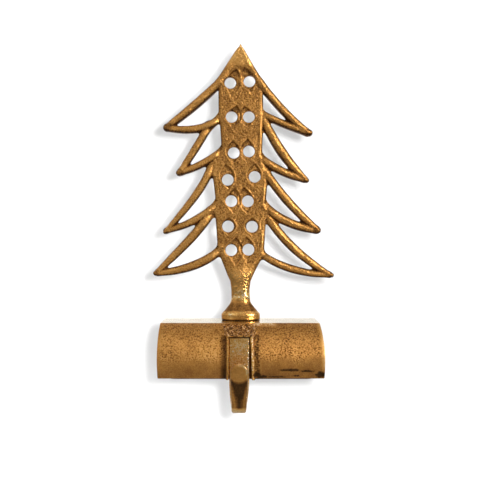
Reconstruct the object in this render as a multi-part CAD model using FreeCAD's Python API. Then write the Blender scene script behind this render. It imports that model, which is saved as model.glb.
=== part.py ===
import FreeCAD, Part

import math
import os

# Mantel stocking holder in cast brass: an openwork evergreen on a block base, with a hook in front.
# Millimetres. X to the right seen from the front, -Y to the front, +Z up.
# The origin is the centre of the underside, on the plane where the felt meets the mantel.

V = FreeCAD.Vector

# Base casting
BASE_WIDTH = 94.4            # at the widest line of the bowed ends
BASE_END_BOW_TOP = 1.2       # how much each end falls in at the top
BASE_END_BOW_FOOT = 0.5      # and at the foot
BASE_DEPTH = 39.0            # from the bulge of the front to the flat back
BASE_HEIGHT = 30.3           # casting alone, without the felt
BULGE_HEIGHT = 10.5          # of the front's foremost line above the casting's foot
ROOF_SETBACK = 12.9675       # roof's front edge behind the foremost line; it sets the front's arc
BASE_WALL = 6.0
BACK_WALL = 4.5
ROOF_WALL = 6.0
BASE_EDGE = 0.8              # softened edges of the casting

# Felt under the base
FELT_THICKNESS = 1.0
FELT_INSET = 3.2
FELT_CORNER = 4.0

# Hook, a cast bar that lies in a recess of the base
HOOK_X = -1.0                # the hook sits a little left of the middle
SHANK_WIDTH = 11.4
SHANK_THICKNESS = 4.8
SHANK_SUNK = 0.75            # shank face behind the lips of the recess
SHANK_CORNER = 0.5           # corner radii of the bar: along the shank, then at the end of the bend
BEND_CORNER = 1.9
BEND_RADIUS = 6.3            # of the bar's middle line
BEND_WIDTH = 8.3
BEND_THICKNESS = 4.6
HOOK_DROP = 16.2             # lowest point below the mantel's top
TONGUE_LEAN = 15.0           # degrees forward from upright
TONGUE_WIDTH = 9.3
TONGUE_THICKNESS = 4.2
TONGUE_TOP = 12.3            # height of the rounded end
FACET_FOOT = 3.6             # height where the filed facet of the tongue begins
TONGUE_EDGE = 0.6            # softened front edge of the rounded end

# Boss with the recess for the shank
SIDE_GAP_LEFT = 0.3
SIDE_GAP_RIGHT = 1.3
TOP_GAP = 0.6
RECESS_HEIGHT = 24.9
LIP_LEFT = 1.0
LIP_RIGHT = 1.4
BOSS_STANDOFF = 1.5          # of the boss face before the front's bulge
BOSS_FACE_RISE = 0.8         # upright face above the recess
BOSS_ROOF_RUN = 13.6         # sloping roof, front to back
BOSS_FLARE = 0.26            # sideways growth for each mm back

# Tree casting, drawn with its collar's foot at COLLAR_FOOT and then set on the roof of the base
TREE_FROM_BACK = 8.54        # middle plane of the tree in front of the base's back
COLLAR_FOOT = 31.3
SHOULDER_DEPTH = 5.0         # the two long bars at the tree's point stand out most
UPPER_BAR_DEPTH = 4.9
TIP_DEPTH = 4.82
LOWER_BAR_DEPTH = 4.75
EDGE_BAR_DEPTH = 4.6
TREE_PLATE_DEPTH = 4.4
LEAF_DEPTH = 0.9
HOLE_DIAMETER = 7.0
LEAF_WIDTH = 9.0
EDGE_BAR_WIDTH = 3.6
BAR_CROWN = 0.84             # rounding of a bar's front, as a share of half its width
CROWN_FLATS = 4
TIP_FLATS = 14
NECK_FLATS = 32
NECK_X = -0.3
NECK_WIDTH = 11.2
COLLAR_WIDTH = 23.5
COLLAR_DEPTH = 14.0
COLLAR_HEIGHT = 4.2
COLLAR_EDGE = 0.6            # softened upper edge of the collar
FLARE_HEIGHT = 8.4
NECK_HEIGHT = 11.0           # neck of even width above the flare
NECK_TOP = 70.0              # where the round of the neck fades into the trunk

# Fasteners
TREE_SCREW_DIAMETER = 5.0
TREE_SCREW_HEAD = 8.5
TREE_SCREW_HEAD_HEIGHT = 3.4
TREE_SCREW_LENGTH = 14.0
TREE_WASHER_DIAMETER = 9.4
TREE_WASHER_THICKNESS = 1.0
TREE_SCREW_SHIFT = -1.0      # screw in front of the tree's middle plane, clear of the back wall
HOOK_SCREW_DIAMETER = 4.0
HOOK_SCREW_HEAD = 7.2
HOOK_SCREW_HEAD_HEIGHT = 2.8
HOOK_SCREW_LENGTH = 10.0
HOOK_SCREW_DROP = 9.3        # screw's axis below the shank's upper end
HOOK_WASHER_DIAMETER = 9.0
HOOK_WASHER_THICKNESS = 0.8
HOOK_PAD_THICKNESS = 5.6     # metal behind the recess
HOOK_PAD_MARGIN = 4.0        # pad around the washer
CLEARANCE = 0.3              # radial, round a screw in its plain hole
THREAD_CLEARANCE = 0.02      # radial, screw in its tapped hole
BLIND_CLEARANCE = 0.5        # past the end of a screw
DRIVE_WIDTH = 1.2
DRIVE_DEPTH = 1.1
SCREW_POINT = 0.6            # chamfer at a screw's end

# Derived places
FOOT_Z = FELT_THICKNESS
ROOF_Z = FOOT_Z + BASE_HEIGHT
BULGE_Z = FOOT_Z + BULGE_HEIGHT
FRONT_RADIUS = ((ROOF_Z - BULGE_Z) ** 2 + ROOF_SETBACK ** 2) / (2 * ROOF_SETBACK)
FOOT_SETBACK = FRONT_RADIUS - math.sqrt(FRONT_RADIUS ** 2 - BULGE_HEIGHT ** 2)
BACK_Y = (BASE_DEPTH - FOOT_SETBACK) / 2
BULGE_Y = BACK_Y - BASE_DEPTH
BOSS_FACE_Y = BULGE_Y - BOSS_STANDOFF
SHANK_FACE_Y = BOSS_FACE_Y + SHANK_SUNK
RECESS_FLOOR_Y = SHANK_FACE_Y + SHANK_THICKNESS
SHANK_TOP_Z = RECESS_HEIGHT - TOP_GAP
HOOK_SCREW_Z = SHANK_TOP_Z - HOOK_SCREW_DROP
RECESS_LEFT = HOOK_X - SHANK_WIDTH / 2 - SIDE_GAP_LEFT
RECESS_RIGHT = HOOK_X + SHANK_WIDTH / 2 + SIDE_GAP_RIGHT
PAD_FACE_Y = RECESS_FLOOR_Y + HOOK_PAD_THICKNESS
TREE_Y = BACK_Y - TREE_FROM_BACK
TREE_SCREW_Y = TREE_Y + TREE_SCREW_SHIFT
TREE_BACK_Y = TREE_Y + SHOULDER_DEPTH / 2
CEILING_Z = ROOF_Z - ROOF_WALL
REACH = BASE_WIDTH + 2 * BASE_DEPTH    # cutting blocks this long go past every piece

# The tree's bars: start, middle and end of the middle line as (x, z), then the width at each.
SHOULDERS = [
    ((-0.4, 195.2), (-5.7, 185.4), (-13.2, 173.4), (2.1, 4.2, 5.4)),
    ((0.0, 195.2), (4.6, 185.1), (12.6, 171.9), (2.1, 4.2, 5.1)),
]
UPPER_BARS = [
    ((-12.0, 174.6), (-29.0, 159.2), (-43.5, 147.9), (5.2, 5.3, 3.6)),
    ((-19.2, 147.9), (-27.6, 133.8), (-36.3, 120.6), (4.8, 4.7, 3.3)),
    ((-17.4, 125.4), (-26.1, 107.7), (-45.1, 84.7), (4.8, 4.9, 2.4)),
    ((-18.0, 95.7), (-30.0, 80.3), (-50.1, 60.3), (5.4, 5.5, 3.0)),
    ((10.8, 174.6), (25.5, 157.0), (40.2, 144.0), (5.1, 4.9, 3.8)),
    ((13.5, 152.1), (24.6, 132.1), (38.4, 116.1), (4.8, 6.0, 3.2)),
    ((12.6, 123.6), (27.3, 103.5), (45.3, 85.9), (4.8, 5.4, 3.8)),
    ((16.2, 93.0), (32.1, 73.9), (53.1, 58.7), (5.2, 5.4, 2.8)),
]
LOWER_BARS = [
    ((-13.2, 152.7), (-24.6, 146.4), (-43.8, 146.2), (4.2, 4.9, 3.6)),
    ((-11.4, 133.2), (-22.8, 125.3), (-36.6, 119.7), (4.2, 4.5, 3.6)),
    ((-14.4, 100.8), (-27.0, 91.5), (-45.0, 84.4), (4.8, 4.8, 2.5)),
    ((-11.4, 74.4), (-27.0, 64.4), (-49.8, 59.2), (5.1, 5.5, 3.4)),
    ((13.2, 154.8), (25.8, 149.0), (39.9, 143.6), (4.2, 4.4, 3.5)),
    ((12.0, 128.7), (22.8, 121.5), (38.1, 115.2), (4.8, 5.2, 2.9)),
    ((14.1, 99.9), (27.0, 90.6), (45.3, 84.8), (5.4, 5.6, 3.8)),
    ((12.3, 70.8), (30.0, 62.0), (53.4, 58.0), (4.2, 4.9, 2.8)),
]

# Rounded ends where the two bars of a bough meet: (x, z, radius).
TREE_TIPS = [
    (-44.3, 146.8, 2.5), (-37.1, 119.6, 2.0), (-45.5, 84.1, 1.35), (-51.1, 59.3, 1.6),
    (41.1, 143.6, 2.0), (39.5, 115.0, 1.5), (46.0, 85.1, 2.1), (54.5, 58.1, 1.4), (-0.2, 195.7, 1.1),
]

# Rounded edges of the trunk beside the openings and down the foot: top and bottom of the middle line.
TRUNK_EDGES = [
    ((-12.0, 171.6), (-11.8, 152.4)), ((-11.6, 150.6), (-10.0, 133.2)),
    ((-15.3, 117.6), (-13.3, 100.8)), ((-13.5, 96.6), (-12.1, 73.8)),
    ((11.5, 168.0), (11.5, 154.8)), ((11.6, 146.4), (10.9, 129.0)),
    ((14.4, 115.2), (13.2, 100.2)), ((13.1, 91.2), (12.1, 70.8)),
]

# Trunk outline down the left and down the right, inside the bars that frame it.
TRUNK_LEFT = [
    (-0.2, 195.2), (-12.0, 176.0), (-12.0, 153.0), (-10.4, 133.5), (-17.0, 127.5), (-17.8, 118.0),
    (-15.4, 116.0), (-14.0, 101.0), (-17.0, 96.5), (-16.0, 93.5), (-13.4, 91.0), (-12.3, 73.0),
]
TRUNK_RIGHT = [
    (11.8, 173.0), (11.6, 156.0), (13.4, 153.5), (13.4, 148.0), (11.6, 145.0), (11.0, 130.0),
    (14.0, 126.0), (15.5, 118.0), (14.4, 115.5), (13.9, 100.5), (17.0, 95.5), (16.0, 92.5),
    (13.1, 90.5), (12.3, 71.0),
]
FOOT_LEFT = [(-12.6, 69.6), (-9.6, 62.0), (-7.9, 57.6), (-6.4, 54.5), (-5.8, 49.0)]
FOOT_RIGHT = [(12.3, 67.6), (9.1, 61.6), (7.2, 57.6), (5.8, 54.3), (5.2, 49.0)]

# Fourteen holes, each in a shallow leaf: hole x, z, then the leaf's top and bottom points from the hole.
LEAVES = [
    (-6.4, 173.6, (3.6, 8.4), (0.4, -8.2)), (5.1, 174.5, (-3.3, 8.2), (0.9, -6.8)),
    (-5.6, 153.2, (2.9, 6.6), (0.4, -6.8)), (4.8, 153.2, (-3.0, 6.3), (-0.3, -6.5)),
    (-4.3, 131.6, (-0.8, 7.2), (0.1, -6.3)), (4.8, 132.5, (-0.9, 7.2), (-1.2, -6.8)),
    (-7.9, 115.4, (-1.4, 9.3), (0.7, -5.6)), (8.3, 117.2, (0.1, 7.8), (-1.1, -5.4)),
    (-5.8, 102.6, (1.9, 7.8), (1.2, -7.5)), (4.2, 102.5, (-2.7, 8.4), (-0.3, -7.4)),
    (-7.7, 87.4, (0.3, 5.3), (0.2, -5.4)), (6.7, 87.2, (0.1, 5.3), (-0.1, -5.4)),
    (-5.8, 73.1, (2.7, 7.8), (2.8, -9.0)), (4.5, 73.4, (-1.2, 7.8), (-0.9, -6.2)),
]


def polygon_face(points):
    """Flat face through the given vectors."""
    return Part.Face(Part.makePolygon(points + [points[0]]))


def curve_point(start, middle, end, share):
    """Point and direction on the parabola through three (x, z) points, at a share of the way."""
    a = (1 - share) * (1 - 2 * share)
    b = 4 * share * (1 - share)
    c = share * (2 * share - 1)
    da = 4 * share - 3
    db = 4 - 8 * share
    dc = 4 * share - 1
    x = a * start[0] + b * middle[0] + c * end[0]
    z = a * start[1] + b * middle[1] + c * end[1]
    dx = da * start[0] + db * middle[0] + dc * end[0]
    dz = da * start[1] + db * middle[1] + dc * end[1]
    length = math.hypot(dx, dz)
    return x, z, dx / length, dz / length


def bar_section(x, z, along_x, along_z, width, depth):
    """Closed wire of a bar cut across: flat back, upright sides, front crowned in four flats."""
    half = width / 2
    crown = BAR_CROWN * half
    front_y = TREE_BACK_Y - depth

    def at(across, y):
        return V(x + along_z * across, y, z - along_x * across)

    points = [at(-half, TREE_BACK_Y), at(half, TREE_BACK_Y)]
    for step in range(CROWN_FLATS + 1):
        turn = math.pi * step / CROWN_FLATS
        points.append(at(half * math.cos(turn), front_y + crown * (1 - math.sin(turn))))
    return Part.makePolygon(points + [points[0]])


def tree_bar(start, middle, end, widths, depth):
    """One crowned bar of the tree, thinning towards its tip."""
    first, full, last = widths
    stations = [
        (0.0, first), (0.2, first / 3 + full * 2 / 3), (0.5, full),
        (0.8, last / 3 + full * 2 / 3), (1.0, last),
    ]
    sections = []
    for share, width in stations:
        x, z, along_x, along_z = curve_point(start, middle, end, share)
        sections.append(bar_section(x, z, along_x, along_z, width, depth))
    return Part.makeLoft(sections, True, True)


def edge_bar(top, bottom):
    """A straight bar along the trunk's edge, a little lower than the bars that it joins."""
    run_x = bottom[0] - top[0]
    run_z = bottom[1] - top[1]
    length = math.hypot(run_x, run_z)
    along_x = run_x / length
    along_z = run_z / length
    sections = [
        bar_section(x, z, along_x, along_z, EDGE_BAR_WIDTH, EDGE_BAR_DEPTH) for x, z in (top, bottom)
    ]
    return Part.makeLoft(sections, True, True)


def tip_end(x, z, radius):
    """Rounded end of a bough: an upright round in flats, its front edge turned down."""
    crown = BAR_CROWN * radius
    front_y = TREE_BACK_Y - TIP_DEPTH
    rings = []
    for y, reach in ((TREE_BACK_Y, radius), (front_y + crown * 0.8, radius), (front_y, radius * 0.4)):
        points = []
        for step in range(TIP_FLATS):
            turn = 2 * math.pi * step / TIP_FLATS
            points.append(V(x + reach * math.cos(turn), y, z + reach * math.sin(turn)))
        rings.append(Part.makePolygon(points + [points[0]]))
    return Part.makeLoft(rings, True, True)


def trunk_plate():
    """Flat trunk behind the bars, from the tree's point to the neck."""
    back = TREE_BACK_Y

    def flat(points):
        return [V(x, back, z) for x, z in points]

    left_foot = Part.BSplineCurve()
    left_foot.interpolate(flat(FOOT_LEFT))
    right_foot = Part.BSplineCurve()
    right_foot.interpolate(flat(FOOT_RIGHT))
    down = flat(TRUNK_LEFT) + [left_foot.StartPoint]
    up = [right_foot.StartPoint] + list(reversed(flat(TRUNK_RIGHT))) + [down[0]]
    edges = [Part.makeLine(a, b) for a, b in zip(down[:-1], down[1:])]
    edges.append(left_foot.toShape())
    edges.append(Part.makeLine(left_foot.EndPoint, right_foot.EndPoint))
    edges.append(right_foot.toShape())
    edges += [Part.makeLine(a, b) for a, b in zip(up[:-1], up[1:])]
    outline = Part.Wire(Part.__sortEdges__(edges))
    return Part.Face(outline).extrude(V(0, -TREE_PLATE_DEPTH, 0))


def neck_and_collar():
    """Oval neck that flares to the collar."""
    neck = NECK_WIDTH / 2
    collar = COLLAR_WIDTH / 2
    collar_top = COLLAR_FOOT + COLLAR_HEIGHT
    flare_top = collar_top + FLARE_HEIGHT
    rings = [
        (COLLAR_FOOT, collar), (collar_top, collar), (collar_top + COLLAR_EDGE, collar - COLLAR_EDGE),
        (collar_top + FLARE_HEIGHT * 0.25, collar * 0.78), (collar_top + FLARE_HEIGHT * 0.55, neck * 1.214),
        (flare_top, neck), (flare_top + NECK_HEIGHT, neck), (NECK_TOP, 1.0),
    ]
    flatness = COLLAR_DEPTH / COLLAR_WIDTH
    wires = []
    for z, half in rings:
        points = []
        for step in range(NECK_FLATS):
            turn = 2 * math.pi * (step + 0.5) / NECK_FLATS
            points.append(V(NECK_X + half * math.cos(turn), TREE_Y + half * flatness * math.sin(turn), z))
        wires.append(Part.makePolygon(points + [points[0]]))
    return Part.makeLoft(wires, True, True)


def leaf_cutters(x, z, top, bottom):
    """The shallow leaf and the hole in it."""
    face_y = TREE_BACK_Y - TREE_PLATE_DEPTH
    upper = V(x + top[0], face_y - 1, z + top[1])
    lower = V(x + bottom[0], face_y - 1, z + bottom[1])
    left = V(x - LEAF_WIDTH / 2, face_y - 1, z)
    right = V(x + LEAF_WIDTH / 2, face_y - 1, z)
    sides = [Part.Arc(upper, left, lower).toShape(), Part.Arc(lower, right, upper).toShape()]
    leaf = Part.Face(Part.Wire(sides)).extrude(V(0, 1 + LEAF_DEPTH, 0))
    hole = Part.makeCylinder(HOLE_DIAMETER / 2, REACH, V(x, -REACH / 2, z), V(0, 1, 0))
    return [leaf, hole]


def tree_casting():
    """Openwork evergreen, neck and collar in one casting, tapped from below."""
    pieces = [tree_bar(*bar, UPPER_BAR_DEPTH) for bar in UPPER_BARS]
    pieces += [tree_bar(*bar, LOWER_BAR_DEPTH) for bar in LOWER_BARS]
    pieces += [edge_bar(*edge) for edge in TRUNK_EDGES]
    pieces += [tree_bar(*bar, SHOULDER_DEPTH) for bar in SHOULDERS]
    pieces += [tip_end(*tip) for tip in TREE_TIPS]
    pieces.append(neck_and_collar())
    tree = trunk_plate()
    for piece in pieces:
        tree = tree.fuse(piece)
    cutters = []
    for leaf in LEAVES:
        cutters += leaf_cutters(*leaf)
    tapped = TREE_SCREW_LENGTH - ROOF_WALL - TREE_WASHER_THICKNESS + BLIND_CLEARANCE
    radius = TREE_SCREW_DIAMETER / 2 + THREAD_CLEARANCE
    cutters.append(Part.makeCylinder(radius, tapped + 1, V(NECK_X, TREE_SCREW_Y, COLLAR_FOOT - 1)))
    tree = tree.cut(cutters)
    tree.translate(V(0, 0, ROOF_Z - COLLAR_FOOT))
    return tree


def side_profile(radius, foot, roof, back):
    """Side view of the base: flat foot, arc front, flat roof and back."""
    centre_y = BULGE_Y + FRONT_RADIUS

    def on_arc(z):
        return V(0, centre_y - math.sqrt(radius ** 2 - (z - BULGE_Z) ** 2), z)

    low = on_arc(foot)
    high = on_arc(roof)
    front = Part.Arc(low, on_arc(BULGE_Z), high).toShape()
    edges = [
        front,
        Part.makeLine(high, V(0, back, roof)),
        Part.makeLine(V(0, back, roof), V(0, back, foot)),
        Part.makeLine(V(0, back, foot), low),
    ]
    return Part.Face(Part.Wire(edges))


def base_body():
    """Block with the arc front, its ends bowed as seen from the front."""
    half = BASE_WIDTH / 2
    block = side_profile(FRONT_RADIUS, FOOT_Z, ROOF_Z, BACK_Y).extrude(V(2 * REACH, 0, 0))
    block.translate(V(-REACH, 0, 0))
    foot = half - BASE_END_BOW_FOOT
    top = half - BASE_END_BOW_TOP
    right = Part.Arc(V(foot, -REACH, FOOT_Z), V(half, -REACH, BULGE_Z), V(top, -REACH, ROOF_Z)).toShape()
    left = Part.Arc(V(-top, -REACH, ROOF_Z), V(-half, -REACH, BULGE_Z), V(-foot, -REACH, FOOT_Z)).toShape()
    roof = Part.makeLine(V(top, -REACH, ROOF_Z), V(-top, -REACH, ROOF_Z))
    base = Part.makeLine(V(-foot, -REACH, FOOT_Z), V(foot, -REACH, FOOT_Z))
    ends = Part.Face(Part.Wire([right, roof, left, base])).extrude(V(0, 2 * REACH, 0))
    body = block.common(ends)
    upright = [edge for edge in body.Edges if edge.BoundBox.ZLength > BASE_HEIGHT / 2]
    roof_edges = [edge for edge in body.Edges if edge.BoundBox.ZMin > ROOF_Z - 1]
    return body.makeChamfer(BASE_EDGE, upright + roof_edges)


def boss():
    """Raised boss of the recess: upright face, sloping roof, sides that flare to the base."""
    inner_y = BOSS_FACE_Y + BOSS_ROOF_RUN
    face_top = RECESS_HEIGHT + BOSS_FACE_RISE
    side = polygon_face([
        V(0, BOSS_FACE_Y, FOOT_Z), V(0, BOSS_FACE_Y, face_top), V(0, inner_y, ROOF_Z - 0.4),
        V(0, inner_y, FOOT_Z),
    ])
    left = RECESS_LEFT - LIP_LEFT
    right = RECESS_RIGHT + LIP_RIGHT
    spread = BOSS_FLARE * BOSS_ROOF_RUN
    prism = side.extrude(V(2 * REACH, 0, 0))
    prism.translate(V(-REACH, 0, 0))
    plan = polygon_face([
        V(left, BOSS_FACE_Y, 0), V(right, BOSS_FACE_Y, 0), V(right + spread, inner_y, 0),
        V(left - spread, inner_y, 0),
    ]).extrude(V(0, 0, REACH))
    return prism.common(plan)


def base_casting():
    """Thick-walled casting, open below, with the recess, its pad and the two screw holes."""
    half = BASE_WIDTH / 2 - BASE_WALL
    hollow = side_profile(FRONT_RADIUS - BASE_WALL, FOOT_Z, CEILING_Z, BACK_Y - BACK_WALL)
    hollow = hollow.extrude(V(2 * half, 0, 0))
    hollow.translate(V(-half, 0, 0))
    pad_half = HOOK_WASHER_DIAMETER / 2 + HOOK_PAD_MARGIN
    pad = Part.makeBox(2 * pad_half, PAD_FACE_Y - RECESS_FLOOR_Y, CEILING_Z + 1 - FOOT_Z,
                       V(HOOK_X - pad_half, RECESS_FLOOR_Y, FOOT_Z))
    shell = base_body().fuse(boss()).cut(hollow).fuse(pad)
    recess = Part.makeBox(RECESS_RIGHT - RECESS_LEFT, REACH, RECESS_HEIGHT + 1,
                          V(RECESS_LEFT, RECESS_FLOOR_Y - REACH, -1))
    hook_hole = Part.makeCylinder(HOOK_SCREW_DIAMETER / 2 + CLEARANCE, 2 * HOOK_PAD_THICKNESS,
                                  V(HOOK_X, RECESS_FLOOR_Y - 1, HOOK_SCREW_Z), V(0, 1, 0))
    tree_hole = Part.makeCylinder(TREE_SCREW_DIAMETER / 2 + CLEARANCE, ROOF_WALL + 2,
                                  V(NECK_X, TREE_SCREW_Y, CEILING_Z - 1))
    return shell.cut([recess, hook_hole, tree_hole]).removeSplitter()


def hook_section(y, z, along_y, along_z, width, thickness, corner):
    """Bar cut across its run: flat on the inside of the bend, rounded corners on the outside."""
    out_y = along_z
    out_z = -along_y
    half = width / 2
    turn = math.sin(math.radians(45))

    def at(across, out):
        return V(HOOK_X + across, y + out_y * out, z + out_z * out)

    inner = -thickness / 2
    outer = thickness / 2
    bend = corner * (1 - turn)
    return Part.Wire([
        Part.makeLine(at(-half, inner), at(half, inner)),
        Part.makeLine(at(half, inner), at(half, outer - corner)),
        Part.Arc(at(half, outer - corner), at(half - bend, outer - bend), at(half - corner, outer)).toShape(),
        Part.makeLine(at(half - corner, outer), at(-half + corner, outer)),
        Part.Arc(at(-half + corner, outer), at(-half + bend, outer - bend), at(-half, outer - corner)).toShape(),
        Part.makeLine(at(-half, outer - corner), at(-half, inner)),
    ])


def stocking_hook():
    """Flat shank that tapers into the bend and rises again as a rounded tongue with a filed facet."""
    middle_y = SHANK_FACE_Y + SHANK_THICKNESS / 2
    bend_z = -HOOK_DROP + BEND_RADIUS + BEND_THICKNESS / 2
    bend_y = middle_y - BEND_RADIUS
    stations = [
        (middle_y, SHANK_TOP_Z, 0, -1, SHANK_WIDTH, SHANK_THICKNESS, SHANK_CORNER),
        (middle_y, SHANK_TOP_Z / 3, 0, -1, SHANK_WIDTH, SHANK_THICKNESS, SHANK_CORNER),
        (middle_y, 0.0, 0, -1, SHANK_WIDTH * 0.99, SHANK_THICKNESS, SHANK_CORNER * 1.4),
    ]
    sweep = 180 - TONGUE_LEAN
    turns = 9
    waist = SHANK_WIDTH * 0.965
    for step in range(turns + 1):
        share = step / turns
        angle = math.radians(sweep * share)
        width = max(BEND_WIDTH, waist - (waist - BEND_WIDTH) * share * 2)
        stations.append((
            bend_y + BEND_RADIUS * math.cos(angle), bend_z - BEND_RADIUS * math.sin(angle),
            -math.sin(angle), -math.cos(angle), width,
            SHANK_THICKNESS + (BEND_THICKNESS - SHANK_THICKNESS) * share,
            2 * SHANK_CORNER + (BEND_CORNER - 2 * SHANK_CORNER) * share,
        ))
    foot_y, foot_z, along_y, along_z = stations[-1][:4]
    rise = TONGUE_TOP + 2 - foot_z
    for share, width in ((0.35, BEND_WIDTH + 0.2), (0.7, TONGUE_WIDTH), (1.0, TONGUE_WIDTH)):
        run = rise * share / along_z
        stations.append((foot_y + along_y * run, foot_z + along_z * run, along_y, along_z, width,
                         BEND_THICKNESS + (TONGUE_THICKNESS - BEND_THICKNESS) * share, BEND_CORNER))
    hook = Part.makeLoft([hook_section(*station) for station in stations], True, True)
    half = TONGUE_WIDTH / 2
    end_z = TONGUE_TOP - half
    above = Part.makeBox(REACH, REACH, REACH, V(-REACH / 2, bend_y - REACH, end_z))
    rounded = Part.makeCylinder(half, REACH, V(HOOK_X, bend_y - REACH, end_z), V(0, 1, 0))
    lean = math.radians(TONGUE_LEAN)
    facet_y = foot_y - (FACET_FOOT - foot_z) * math.tan(lean) - TONGUE_THICKNESS / 2 / math.cos(lean)
    facet = Part.makeBox(REACH, REACH, REACH, V(-REACH / 2, facet_y - REACH, FACET_FOOT - REACH / 2))
    hook = hook.cut([above.cut(rounded), facet])
    tip = [edge for edge in hook.Edges if edge.BoundBox.YMax < facet_y + 0.01 and edge.BoundBox.ZMax > end_z]
    hook = hook.makeChamfer(TONGUE_EDGE, tip)
    tapped = HOOK_SCREW_LENGTH - HOOK_PAD_THICKNESS - HOOK_WASHER_THICKNESS + BLIND_CLEARANCE
    radius = HOOK_SCREW_DIAMETER / 2 + THREAD_CLEARANCE
    thread = Part.makeCylinder(radius, tapped + 1, V(HOOK_X, RECESS_FLOOR_Y + 1, HOOK_SCREW_Z), V(0, -1, 0))
    return hook.cut(thread).removeSplitter()


def machine_screw(diameter, head_diameter, head_height, length):
    """Pan head screw standing on its head's seat, shank up, with a straight slot."""
    shank = diameter / 2
    head = head_diameter / 2
    point = SCREW_POINT
    shoulder = head_height * 0.45
    edges = [
        Part.makeLine(V(0, 0, length), V(shank - point, 0, length)),
        Part.makeLine(V(shank - point, 0, length), V(shank, 0, length - point)),
        Part.makeLine(V(shank, 0, length - point), V(shank, 0, 0)),
        Part.makeLine(V(shank, 0, 0), V(head, 0, 0)),
        Part.makeLine(V(head, 0, 0), V(head, 0, -shoulder)),
        Part.makeLine(V(head, 0, -shoulder), V(head * 0.82, 0, -head_height * 0.85)),
        Part.makeLine(V(head * 0.82, 0, -head_height * 0.85), V(head * 0.5, 0, -head_height)),
        Part.makeLine(V(head * 0.5, 0, -head_height), V(0, 0, -head_height)),
        Part.makeLine(V(0, 0, -head_height), V(0, 0, length)),
    ]
    turned = Part.Face(Part.Wire(edges)).revolve(V(0, 0, 0), V(0, 0, 1), 360)
    slot = Part.makeBox(head_diameter + 2, DRIVE_WIDTH, DRIVE_DEPTH + 1,
                        V(-head - 1, -DRIVE_WIDTH / 2, -head_height - 1))
    return turned.cut(slot)


def washer(outer, hole, thickness):
    """Plain washer lying on z = 0."""
    return Part.makeCylinder(outer / 2, thickness).cut(Part.makeCylinder(hole / 2, thickness))


def facing_front(shape):
    """Turns a piece made upright so that its +Z points to the front."""
    shape.rotate(V(0, 0, 0), V(1, 0, 0), 90)
    return shape


def tree_screw():
    """Screw from inside the base up into the collar."""
    screw = machine_screw(TREE_SCREW_DIAMETER, TREE_SCREW_HEAD, TREE_SCREW_HEAD_HEIGHT, TREE_SCREW_LENGTH)
    screw.translate(V(NECK_X, TREE_SCREW_Y, CEILING_Z - TREE_WASHER_THICKNESS))
    return screw


def tree_washer():
    """Washer between that screw's head and the roof of the base."""
    ring = washer(TREE_WASHER_DIAMETER, TREE_SCREW_DIAMETER + 2 * CLEARANCE, TREE_WASHER_THICKNESS)
    ring.translate(V(NECK_X, TREE_SCREW_Y, CEILING_Z - TREE_WASHER_THICKNESS))
    return ring


def hook_screw():
    """Screw from inside the base forward into the hook's shank."""
    screw = machine_screw(HOOK_SCREW_DIAMETER, HOOK_SCREW_HEAD, HOOK_SCREW_HEAD_HEIGHT, HOOK_SCREW_LENGTH)
    screw = facing_front(screw)
    screw.translate(V(HOOK_X, PAD_FACE_Y + HOOK_WASHER_THICKNESS, HOOK_SCREW_Z))
    return screw


def hook_washer():
    """Washer between that screw's head and the pad behind the recess."""
    ring = washer(HOOK_WASHER_DIAMETER, HOOK_SCREW_DIAMETER + 2 * CLEARANCE, HOOK_WASHER_THICKNESS)
    ring = facing_front(ring)
    ring.translate(V(HOOK_X, PAD_FACE_Y + HOOK_WASHER_THICKNESS, HOOK_SCREW_Z))
    return ring


def felt_pad():
    """Felt sheet under the casting, which also closes its hollow."""
    half = BASE_WIDTH / 2 - BASE_END_BOW_FOOT - FELT_INSET
    depth = 2 * (BACK_Y - FELT_INSET)
    sheet = Part.makeBox(2 * half, depth, FELT_THICKNESS, V(-half, -depth / 2, 0))
    corners = [edge for edge in sheet.Edges if edge.BoundBox.ZLength > FELT_THICKNESS / 2]
    return sheet.makeFillet(FELT_CORNER, corners)


PIECES = {
    "base_casting": base_casting,
    "tree_casting": tree_casting,
    "stocking_hook": stocking_hook,
    "tree_screw": tree_screw,
    "tree_washer": tree_washer,
    "hook_screw": hook_screw,
    "hook_washer": hook_washer,
    "felt_pad": felt_pad,
}

os.makedirs("parts", exist_ok=True)
for name, make in PIECES.items():
    shape = make()
    shape.exportStep(os.path.join("parts", name + ".step"))
    print(name, len(shape.Solids), "solid", shape.isValid(), round(shape.Volume / 1000, 3), "cm3")
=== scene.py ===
import math

import bmesh
import bpy
import numpy as np
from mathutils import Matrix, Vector


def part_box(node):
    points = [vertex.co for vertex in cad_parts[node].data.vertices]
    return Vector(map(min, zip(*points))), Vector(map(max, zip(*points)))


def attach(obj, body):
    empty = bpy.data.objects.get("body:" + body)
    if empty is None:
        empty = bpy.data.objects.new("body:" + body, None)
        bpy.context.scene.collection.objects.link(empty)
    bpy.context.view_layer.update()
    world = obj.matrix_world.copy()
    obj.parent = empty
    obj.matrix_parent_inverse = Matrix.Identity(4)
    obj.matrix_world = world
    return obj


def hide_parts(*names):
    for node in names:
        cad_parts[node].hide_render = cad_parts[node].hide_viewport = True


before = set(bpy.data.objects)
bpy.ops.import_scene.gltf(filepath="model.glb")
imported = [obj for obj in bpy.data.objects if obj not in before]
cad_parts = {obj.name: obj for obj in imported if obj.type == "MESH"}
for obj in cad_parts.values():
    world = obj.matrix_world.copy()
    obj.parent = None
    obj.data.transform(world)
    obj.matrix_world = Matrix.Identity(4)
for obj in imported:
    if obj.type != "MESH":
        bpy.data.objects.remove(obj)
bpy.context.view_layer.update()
scene = bpy.context.scene
scene.view_settings.view_transform = "Standard"
MM = 0.001

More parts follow.
